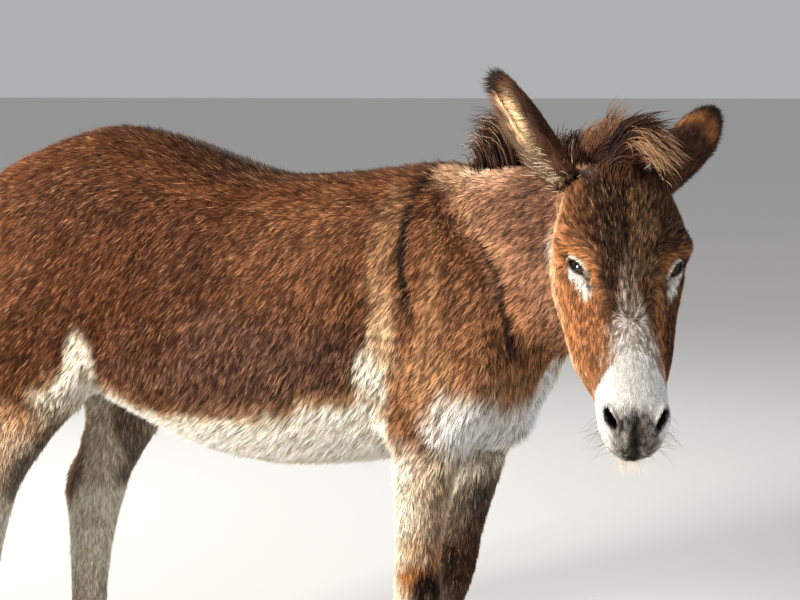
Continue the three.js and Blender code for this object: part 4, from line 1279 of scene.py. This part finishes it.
def hairPiece(name, made, place, material, slot, stands=()):
    # A piece of locks; its patches hold the lock's rings side by side along the lock.
    points, faces, colours = made
    mesh = makeMesh(name, points, faces)
    setTint(mesh, np.clip(colours, 0, 1))
    per = len(points) // len(place)
    h = coatMake["patch"] / 2
    k = np.arange(per)
    inPatch = np.stack([(k % 3 - 1) * h, (k // 3) / (per // 3) * 2 * h - h], -1)
    setPatches(mesh, (place[:, None] + inPatch[None]).reshape(-1, 2), faces)
    return addPiece(mesh, material, slot, stands)


def joinedLocks(parts):  # several sets of locks as one: points, faces and colours
    shift = np.cumsum([0] + [len(points) for points, _, _ in parts[:-1]])
    faces = np.vstack([faces + first for (_, faces, _), first in zip(parts, shift)])
    return np.vstack([points for points, _, _ in parts]), faces, np.vstack([colours for _, _, colours in parts])


def earLocks():
    # Long pale hair in the mouth of each ear, from its root to a third of its length.
    parts, places = [], []
    for side in ("right", "left"):
        points, normals, faces, up, across, within = earParts[side]
        axis, mouth, _ = earAxes(side)[1:]
        face, share = scatter(points, faces, within * ease(0.36, 0.08, up) + 1e-9, 420)
        at = lambda values: atPlaces(values, faces, face, share)
        root, normal = at(points), unit(at(normals))
        first = unit(normal * 0.9 + mouth * 0.5 + axis * 0.3 + draw.normal(0, 0.15, root.shape))
        last = unit(mouth * 0.8 + axis * 0.45 + draw.normal(0, 0.25, root.shape))
        long = 0.018 + 0.018 * draw.random(len(root))
        tint, tip = (np.tile(tones[name], (len(root), 1)) for name in ("earCream", "cream"))
        parts.append(locks(root, first, last, long, np.full(len(root), 0.0015), tint, tip, 4))
        places.append(np.stack([at(across), at(up) + (2 if side == "left" else 0)], -1))
    return joinedLocks(parts), fitted(np.vstack(places))


# The mane stands on the crest and falls to the left.
maneMake = {
    "crest": [(0.352, -0.004, 1.062), (0.4, -0.014, 1.066), (0.475, -0.038, 1.072), (0.58, -0.115, 1.082),
              (0.652, -0.205, 1.09), (0.69, -0.275, 1.092), (0.712, -0.32, 1.085)],
    "locks": 2300,
    "long": 0.15,
    "wide": 0.0026,
}


def alongLine(line, t):  # a place and the direction at the share t of a line of straight stretches
    line = np.array(line)
    reach = np.append(0, np.cumsum(np.linalg.norm(np.diff(line, axis=0), axis=1)))

    def at(share):
        return np.stack([np.interp(share * reach[-1], reach, line[:, k]) for k in range(3)], -1)

    return at(t), unit(at(t + 0.02) - at(t - 0.02))


def mane():
    # Locks strewn along the crest: upright at the root, then over to the left, and tall behind the near ear.
    count = maneMake["locks"]
    t = draw.random(count)
    place, ahead = alongLine(maneMake["crest"], t)
    leftward = unit(np.cross(np.array([0, 0, 1.0]), ahead))
    out = draw.normal(0, 1, count) * 0.01
    root = place + leftward * (out + 0.002)[:, None] - [0, 0, 0.006]
    clump = wave(np.stack([t * 1.0, 0 * t, 0 * t], -1), 0.022, 121)
    lean = 0.45 + 0.35 * clump + 0.25 * draw.normal(0, 1, count)
    first = unit(np.array([0, 0, 1.0]) + leftward * (0.1 + 8 * out)[:, None] - ahead * 0.12
                 + draw.normal(0, 0.08, (count, 3)))
    last = unit(leftward * (0.6 + 0.3 * lean)[:, None] - np.array([0, 0, 1.0]) * (0.15 + 0.8 * lean)[:, None]
                - ahead * (0.75 + 0.25 * clump)[:, None])
    tall = np.exp(-(((t - 0.2) / 0.1) ** 2))
    first = unit(first + tall[:, None] * [-0.25, 0, 0.9])
    last = unit(last + tall[:, None] * [-0.75, 0.1, 0.25])
    length = maneMake["long"] * (0.75 + 0.4 * draw.random(count)) * ease(-0.06, 0.1, t)
    length = length * (1 + 0.15 * clump + 0.35 * tall)
    width = maneMake["wide"] * (0.6 + 0.7 * draw.random(count))
    pale = (draw.random(count) < 0.16 + 0.5 * ease(0.12, 0.0, t))[:, None]
    tint = mix(tones["umber"], tones["stripe"], draw.random(count)[:, None])
    tip = np.where(pale, tones["paleTan"], mix(tones["chestnut"], tones["stripe"], draw.random(count)[:, None]))
    return locks(root, first, last, length, width, tint, tip, 6), fitted(np.stack([t, out], -1))


# The forelock: tufts by family, each with its roots' box and its first and last directions in the head's frame.
forelockMake = rows(
    "name locks from to first last long wide tint tip",
    ("before the right ear", 260, (0.01, -0.074, -0.012), (0.05, -0.05, 0.0), (-0.75, -0.1, 0.6),
     (-0.85, -0.35, 0.25), 0.026, 0.0014, ("gingerBrown", "tan"), ("paleTan", "ginger")),
    ("before the left ear", 200, (0.01, 0.046, -0.014), (0.046, 0.07, -0.002), (-0.75, 0.2, 0.6),
     (-0.85, 0.45, 0.25), 0.024, 0.0014, ("umber", "chestnut"), ("gingerBrown", "umber")),
    ("core", 620, (-0.04, -0.036, 0.008), (0.022, 0.022, 0.016), (-0.4, 0.35, 0.8), (0.35, 0.95, 0.05), 0.08,
     0.0022, ("umber", "stripe"), ("chestnut", "umber")),
    ("blond sweep", 260, (-0.032, -0.01, 0.012), (0.016, 0.03, 0.018), (-0.25, 0.5, 0.74), (0.95, 0.3, -0.05),
     0.104, 0.0016, ("umber", "gingerBrown"), ("tan", "paleTan")),
    ("peak", 300, (-0.03, -0.018, 0.01), (0.01, 0.018, 0.018), (-0.55, 0.2, 0.66), (0.0, 0.95, 0.35), 0.066,
     0.002, ("stripe", "black"), ("stripe", "umber")),
    ("wisps behind", 230, (-0.062, -0.05, 0.0), (-0.02, -0.006, 0.01), (-0.55, -0.1, 0.62),
     (-0.3, 0.86, 0.2), 0.058, 0.0011, ("gingerBrown", "umber"), ("tan", "gingerBrown")),
    ("front tufts", 320, (0.006, -0.038, 0.012), (0.052, 0.026, 0.02), (-0.7, 0.05, 0.55), (-0.9, 0.3, 0.2),
     0.018, 0.0015, ("umber", "chestnut"), ("gingerBrown", "umber")),
)


def forelock():
    # Each family's locks are strewn in its box, bunched by noise, between its first and last directions.
    parts = []
    roots = []
    for family in forelockMake:
        count = family["locks"]
        low, high = np.array(family["from"]), np.array(family["to"])
        root = low + (high - low) * draw.random((count, 3))
        root[:, 2] -= 2.6 * np.maximum(np.abs(root[:, 1]) - 0.012, 0) ** 1.15
        bunch = np.stack([wave(root, 0.016, k) for k in (131, 132, 133)], -1)
        first = unit(np.array(family["first"]) + 0.22 * bunch + draw.normal(0, 0.09, (count, 3))) @ headAxes
        last = unit(np.array(family["last"]) + 0.34 * bunch + draw.normal(0, 0.12, (count, 3))) @ headAxes
        length = family["long"] * (0.7 + 0.5 * draw.random(count))
        width = family["wide"] * (0.6 + 0.8 * draw.random(count))
        ends = []
        for key in ("tint", "tip"):
            one, two = (tones[name] for name in family[key])
            ends.append(mix(one, two, draw.random(count)[:, None]))
        parts.append(locks(fromHead(root), first, last, length, width, *ends, 6))
        roots.append(root)
    return joinedLocks(parts), fitted(np.vstack(roots)[:, :2])


# The tail's switch: long locks from the end of the dock down, round a core.
switchMake = {
    "line": [(-0.72, 0.006, 0.7), (-0.7175, 0.006, 0.64), (-0.714, 0.006, 0.56), (-0.71, 0.006, 0.47),
             (-0.707, 0.006, 0.385)],
    "core": (0.019, 0.022, 0.021, 0.015, 0.004),  # radius at equal steps down the line
    "lowest": 0.376,
    "locks": 1500,
    "wide": 0.0028,
}


def switchCore():
    # A closed spindle along the switch's line.
    t = np.linspace(0, 1, 30)
    place, _ = alongLine(switchMake["line"], t)
    radius = np.interp(t, np.linspace(0, 1, 5), switchMake["core"])[:, None, None]
    turn = np.linspace(0, 2 * math.pi, 20, endpoint=False)[None, :]
    ring = np.stack([np.cos(turn), np.sin(turn), 0 * turn], -1)
    return closedLoft(place[:, None] + ring * radius * (1 + 0.12 * np.sin(3 * turn + 4))[..., None])


def switchHair():
    # Locks round the core, hanging down to just under the hocks.
    count = switchMake["locks"]
    t = draw.random(count) ** 1.25 * 0.8
    place, _ = alongLine(switchMake["line"], t)
    turn = draw.random(count) * 2 * math.pi
    out = np.stack([np.cos(turn), np.sin(turn), 0 * turn], -1)
    radius = np.interp(t, np.linspace(0, 1, 5), switchMake["core"]) * 0.8
    root = place + out * radius[:, None]
    first = unit(out * 0.42 + [0, 0, -1] + draw.normal(0, 0.08, (count, 3)))
    last = unit(out * -0.1 + [0, 0, -1] + draw.normal(0, 0.06, (count, 3)))
    length = np.minimum(0.1 + 0.09 * draw.random(count), root[:, 2] - switchMake["lowest"])
    tint = mix(tones["umber"], tones["stripe"], draw.random(count)[:, None])
    tip = mix(tones["stripe"], tones["chestnut"], draw.random(count)[:, None] ** 2)
    width = switchMake["wide"] * (0.6 + 0.7 * draw.random(count))
    return locks(root, first, last, length, width, tint, tip, 6), fitted(np.stack([turn, t], -1))


# Whiskers and lashes.
whiskerMake = rows(
    "name locks at spread first last long wide tone",
    ("chin", 70, (0.418, 0.0, -0.1), (0.016, 0.018, 0.006), (0.45, 0.0, -0.85), (0.1, 0.0, -1.0), 0.03, 0.00055,
     "cream"),
    ("lower lip", 46, (0.44, 0.0, -0.084), (0.005, 0.022, 0.005), (0.85, 0.0, -0.45), (0.6, 0.0, -0.8), 0.024,
     0.0005, "cream"),
    ("left lip", 26, (0.415, 0.043, -0.06), (0.022, 0.003, 0.02), (0.3, 0.9, -0.25), (0.35, 0.8, -0.6), 0.034,
     0.00036, "greyBrown"),
    ("right lip", 26, (0.415, -0.043, -0.06), (0.022, 0.003, 0.02), (0.3, -0.9, -0.25), (0.35, -0.8, -0.6), 0.034,
     0.00036, "greyBrown"),
)


def nearestSkin(points):  # each point moved to the nearest point of the head's skin
    head = skinPoints[headShare(skinPoints) > 0.6]
    gap = ((points[:, None] - head[None]) ** 2).sum(-1)
    return head[gap.argmin(1)]


def whiskers():
    # Stiff hairs round the mouth, each rooted at the nearest skin, then the lashes fanned over the upper lids.
    parts = []
    for tuft in whiskerMake:
        count = tuft["locks"]
        root = nearestSkin(fromHead(tuft["at"] + draw.normal(0, 0.7, (count, 3)) * tuft["spread"]))
        first = unit(np.array(tuft["first"]) + draw.normal(0, 0.35, (count, 3))) @ headAxes
        last = unit(np.array(tuft["last"]) + draw.normal(0, 0.25, (count, 3))) @ headAxes
        length = tuft["long"] * (0.5 + 0.8 * draw.random(count))
        tint = np.tile(tones[tuft["tone"]], (count, 1))
        parts.append(locks(root, first, last, length, np.full(count, tuft["wide"]), tint, tint, 5))
    for side in (1, -1):
        centre, slit, brow, out = eyeAxes(side)
        count = 60
        u, v = almond(np.linspace(0.25, math.pi - 0.15, count))
        root = centre + u[:, None] * slit + v[:, None] * brow + (lidDome(u, v) + 0.0004)[:, None] * out
        fan = (u / eyelid["halfLong"])[:, None]
        first = unit(out * 1.0 + brow * 0.25 + slit * fan * 0.4 + draw.normal(0, 0.08, (count, 3)))
        last = unit(out * 0.75 - brow * 0.45 + slit * fan * 0.5 + draw.normal(0, 0.08, (count, 3)))
        dark = np.tile(tones["black"], (count, 1))
        length = 0.008 + 0.004 * draw.random(count)
        parts.append(locks(root, first, last, length, np.full(count, 0.0005), dark, dark, 5))
    made = joinedLocks(parts)
    return made, fitted(toHead(made[0][::18])[:, :2])


def put(node, given):  # sets a node's inputs by their names
    for name, value in given.items():
        node.inputs[name].default_value = value
    return node


def calc(add, link, kind, *values):  # a math node over numbers and other nodes' outputs
    node = add("ShaderNodeMath")
    node.operation = kind
    for slot, value in zip(node.inputs, values):
        if isinstance(value, (int, float)):
            slot.default_value = value
        else:
            link(value, slot)
    return node.outputs[0]


def newFinish(name):  # a material, its shader, and the calls that add its nodes and join them
    material = bpy.data.materials.new(name)
    material.use_nodes = True
    tree = material.node_tree
    return material, tree.nodes["Principled BSDF"], tree.nodes.new, tree.links.new


grainSockets = [
    ("Tint", "INPUT", "Color", (0.5, 0.4, 0.3, 1)),
    ("Fineness", "INPUT", "Float", 420.0),
    ("Contrast", "INPUT", "Float", 0.3),
    ("Dullness", "INPUT", "Float", 0.62),
    ("Colour", "OUTPUT", "Color", None),
    ("Roughness", "OUTPUT", "Float", None),
    ("Height", "OUTPUT", "Float", None),
]


def hairGroup():
    # Fine hair over any tint: noise drawn out downwards lightens and darkens it, and gives a height and a roughness.
    # colour = tint (1 + contrast (noise - 0.5)), and roughness = dullness - 0.3 (noise - 0.5).
    group = bpy.data.node_groups.new("hair grain", "ShaderNodeTree")
    for name, way, kind, value in grainSockets:
        made = group.interface.new_socket(name=name, in_out=way, socket_type="NodeSocket" + kind)
        if value is not None:
            made.default_value = value
    add, link = group.nodes.new, group.links.new
    given, out = add("NodeGroupInput"), add("NodeGroupOutput")
    place = add("ShaderNodeTexCoord")
    stretch = put(add("ShaderNodeMapping"), {"Rotation": (0, math.radians(-25), 0), "Scale": (1, 1, 0.22)})
    noise = put(add("ShaderNodeTexNoise"), {"Detail": 4, "Roughness": 0.6})
    link(place.outputs["Object"], stretch.inputs["Vector"])
    link(stretch.outputs["Vector"], noise.inputs["Vector"])
    link(given.outputs["Fineness"], noise.inputs["Scale"])
    centred = calc(add, link, "SUBTRACT", noise.outputs["Fac"], 0.5)
    factor = calc(add, link, "ADD", calc(add, link, "MULTIPLY", centred, given.outputs["Contrast"]), 1.0)
    scaled = add("ShaderNodeVectorMath")
    scaled.operation = "SCALE"
    link(given.outputs["Tint"], scaled.inputs[0])
    link(factor, scaled.inputs["Scale"])
    dull = calc(add, link, "MULTIPLY_ADD", centred, -0.3, given.outputs["Dullness"])
    link(scaled.outputs["Vector"], out.inputs["Colour"])
    link(dull, out.inputs["Roughness"])
    link(noise.outputs["Fac"], out.inputs["Height"])
    return group


hairGrain = hairGroup()


def hairFinish(name, fineness, contrast, dullness, bump=0.0):
    # The tint told in the mesh, broken up by the hair grain.
    material, shader, add, link = newFinish(name)
    tint, grain = add("ShaderNodeAttribute"), add("ShaderNodeGroup")
    tint.attribute_name = "coatTint"
    grain.node_tree = hairGrain
    put(grain, {"Fineness": fineness, "Contrast": contrast, "Dullness": dullness})
    link(tint.outputs["Color"], grain.inputs["Tint"])
    link(grain.outputs["Colour"], shader.inputs["Base Color"])
    link(grain.outputs["Roughness"], shader.inputs["Roughness"])
    put(shader, {"Specular IOR Level": 0.06})
    if bump:
        raised = put(add("ShaderNodeBump"), {"Strength": bump, "Distance": 0.001})
        link(grain.outputs["Height"], raised.inputs["Height"])
        link(raised.outputs["Normal"], shader.inputs["Normal"])
    return material


coatFinish = hairFinish("coat hair", 520.0, 0.7, 0.62)
skinFinish = hairFinish("skin under the coat", 700.0, 1.0, 0.75, bump=0.7)
longFinish = hairFinish("mane and tail hair", 900.0, 0.5, 0.48)


def eyeFinish():
    # Brown iris with a level dark pupil, darker towards the rim, told by the place on the ball: along and up are
    # metres from the ball's centre, the pupil is where (along / long)^2 + (up / high)^2 is below 1, and the iris
    # where along^2 + up^2 is below its own radius squared.
    material, shader, add, link = newFinish("eye")

    def radius(wide, high):
        squares = []
        for name, size in (("along", wide), ("up", high)):
            node = add("ShaderNodeAttribute")
            node.attribute_name = name
            squares.append(calc(add, link, "POWER", calc(add, link, "DIVIDE", node.outputs["Fac"], size), 2.0))
        return calc(add, link, "SQRT", calc(add, link, "ADD", *squares))

    def ramp(value, low, high, *tints):
        node = put(add("ShaderNodeMapRange"), {"From Min": low, "From Max": high})
        node.interpolation_type = "SMOOTHSTEP"
        link(value, node.inputs["Value"])
        blend = add("ShaderNodeMix")
        blend.data_type = "RGBA"
        link(node.outputs["Result"], blend.inputs["Factor"])
        for slot, tint in zip((blend.inputs[6], blend.inputs[7]), tints):
            if isinstance(tint, tuple):
                slot.default_value = (*tint, 1)
            else:
                link(tint, slot)
        return blend.outputs[2]

    place, fibres = add("ShaderNodeTexCoord"), put(add("ShaderNodeTexNoise"), {"Scale": 900.0, "Detail": 5})
    link(place.outputs["Object"], fibres.inputs["Vector"])
    iris = ramp(fibres.outputs["Fac"], 0.35, 0.65, (0.022, 0.009, 0.004), (0.06, 0.026, 0.01))
    inner = ramp(radius(eyeLook["pupilLong"], eyeLook["pupilHigh"]), 0.85, 1.15, (0.002, 0.002, 0.003), iris)
    rim = eyeLook["iris"]
    ball = ramp(radius(1.0, 1.0), rim - 0.0012, rim + 0.001, inner, (0.03, 0.018, 0.014))
    link(ball, shader.inputs["Base Color"])
    put(shader, {"Roughness": 0.1, "Coat Weight": 0.4, "Coat Roughness": 0.02, "Specular IOR Level": 0.3})
    return material


def grainedFinish(name, dark, pale, scale, stretch, dullness, bump):
    # Two tints mixed by a stretched noise, which also raises the surface a little.
    material, shader, add, link = newFinish(name)
    place, turn = add("ShaderNodeTexCoord"), put(add("ShaderNodeMapping"), {"Scale": stretch})
    noise = put(add("ShaderNodeTexNoise"), {"Scale": scale, "Detail": 5})
    link(place.outputs["Object"], turn.inputs["Vector"])
    link(turn.outputs["Vector"], noise.inputs["Vector"])
    blend = add("ShaderNodeValToRGB")
    for stop, position, tint in zip(blend.color_ramp.elements, (0.32, 0.7), (dark, pale)):
        stop.position, stop.color = position, (*tint, 1)
    link(noise.outputs["Fac"], blend.inputs["Fac"])
    link(blend.outputs["Color"], shader.inputs["Base Color"])
    raised = put(add("ShaderNodeBump"), {"Strength": bump, "Distance": 0.001})
    link(noise.outputs["Fac"], raised.inputs["Height"])
    link(raised.outputs["Normal"], shader.inputs["Normal"])
    rough = put(add("ShaderNodeMapRange"), {"To Min": dullness - 0.1, "To Max": dullness + 0.1})
    link(noise.outputs["Fac"], rough.inputs["Value"])
    link(rough.outputs["Result"], shader.inputs["Roughness"])
    return material


hornFinish = grainedFinish("hoof horn", (0.02, 0.017, 0.015), (0.085, 0.07, 0.058), 160.0, (1, 1, 0.12), 0.45, 0.5)
lidFinish = grainedFinish("lid rim", (0.008, 0.006, 0.006), (0.028, 0.02, 0.018), 900.0, (1, 1, 1), 0.38, 0.5)
eyeShine = eyeFinish()

print("pieces: coat")
for k, part in enumerate(partNames):
    pick = made == k
    spikes = tufts(*(values[pick] for values in (roots, normals, way, length, width, lift, tint, shade)))
    coatPiece("coat_" + part, spikes, unwrap(part, roots[pick]), coatFinish)
    print("  ", part, pick.sum(), "tufts")
addPiece(whole, skinFinish, "coat", fleshNames + ["ear_left", "ear_right"])
for side in ("left", "right"):
    coatPiece(f"coat_ear_{side}", *earTufts(side), coatFinish)
print("pieces: long hair")
hairPiece("mane_hair", *mane(), longFinish, "long_hair", ["mane"])
hairPiece("forelock_hair", *forelock(), longFinish, "long_hair", ["forelock"])
hairPiece("ear_hair", *earLocks(), longFinish, "coat")
core = facesOutward(makeMesh("switch_core", *switchCore()))
setTint(core, np.tile(tones["stripe"], (len(core.vertices), 1)))
addPiece(core, longFinish, "long_hair", ["tail_switch"])
hairPiece("switch_hair", *switchHair(), longFinish, "long_hair")
hairPiece("whiskers", *whiskers(), longFinish, "long_hair")
print("pieces: eyes and hooves")
for side in ("left", "right"):
    points, faces, along, up = eyeball(sideSign[side])
    ball = facesOutward(makeMesh(f"eyeball_{side}", points, faces))
    setNumber(ball, "along", along)
    setNumber(ball, "up", up)
    addPiece(ball, eyeShine, "eye", [f"eye_{side}"])
    addPiece(facesOutward(makeMesh(f"lid_{side}", *lidRim(sideSign[side]))), lidFinish, "bare_skin")
    for end in ("fore", "hind"):
        horn = facesOutward(makeMesh(f"horn_{end}_{side}", *hoof(end, side)))
        addPiece(horn, hornFinish, "hoof_horn", [f"hoof_{end}_{side}"])

stageSet = {
    "floor": (0.66, 0.65, 0.64),
    "world": (0.86, 0.87, 0.88),
    "worldStrength": 0.5,
    "key": {"from": (-3.65, -7.5, 3.25), "size": 2.2, "watts": 1500, "tint": (1.0, 0.955, 0.89)},
    "fill": {"from": (3.4, -1.9, 1.9), "size": 3.0, "watts": 32, "tint": (0.9, 0.95, 1.0)},
    "rim": {"from": (-2.6, 2.4, 3.2), "size": 2.0, "watts": 110, "tint": (1.0, 0.97, 0.93)},
}


def plain(name, tint, roughness):  # one even colour, for the floor
    material, shader = newFinish(name)[:2]
    put(shader, {"Base Color": (*tint, 1), "Roughness": roughness})
    return material


side = 400.0
floorMesh = bpy.data.meshes.new("floor")
floorMesh.from_pydata([(-side, -side, 0), (side, -side, 0), (side, side, 0), (-side, side, 0)], [], [(0, 1, 2, 3)])
floorMesh.materials.append(plain("paleFloor", stageSet["floor"], 0.9))
floor = bpy.data.objects.new("floor", floorMesh)
bpy.context.scene.collection.objects.link(floor)

world = bpy.data.worlds.new("studio")
world.use_nodes = True
world.node_tree.nodes["Background"].inputs["Color"].default_value = (*stageSet["world"], 1)
world.node_tree.nodes["Background"].inputs["Strength"].default_value = stageSet["worldStrength"]
bpy.context.scene.world = world

middle = np.array([0.25, -0.1, 0.75])
for name in ("key", "fill", "rim"):
    made = stageSet[name]
    lamp = bpy.data.lights.new(name, "AREA")
    lamp.shape, lamp.size, lamp.energy, lamp.color = "DISK", made["size"], made["watts"], made["tint"]
    stand = bpy.data.objects.new(name, lamp)
    stand.location = np.array(made["from"]) + ownPlace
    stand.rotation_euler = Vector(middle - np.array(made["from"])).to_track_quat("-Z", "Y").to_euler()
    bpy.context.scene.collection.objects.link(stand)

lookFrom = {"place": (1.606, -2.988, 1.2), "turn": 25.0, "down": math.atan(207 / 1900), "lens": 85.5,
            "sensor": 36.0}
lens = bpy.data.cameras.new("camera")
lens.lens, lens.sensor_width, lens.clip_end = lookFrom["lens"], lookFrom["sensor"], 900
camera = bpy.data.objects.new("camera", lens)
camera.location = np.array(lookFrom["place"]) + ownPlace
camera.rotation_euler = (math.pi / 2 - lookFrom["down"], 0, math.radians(lookFrom["turn"]))
bpy.context.scene.collection.objects.link(camera)
bpy.context.scene.camera = camera
bpy.context.scene.view_settings.view_transform = "Standard"
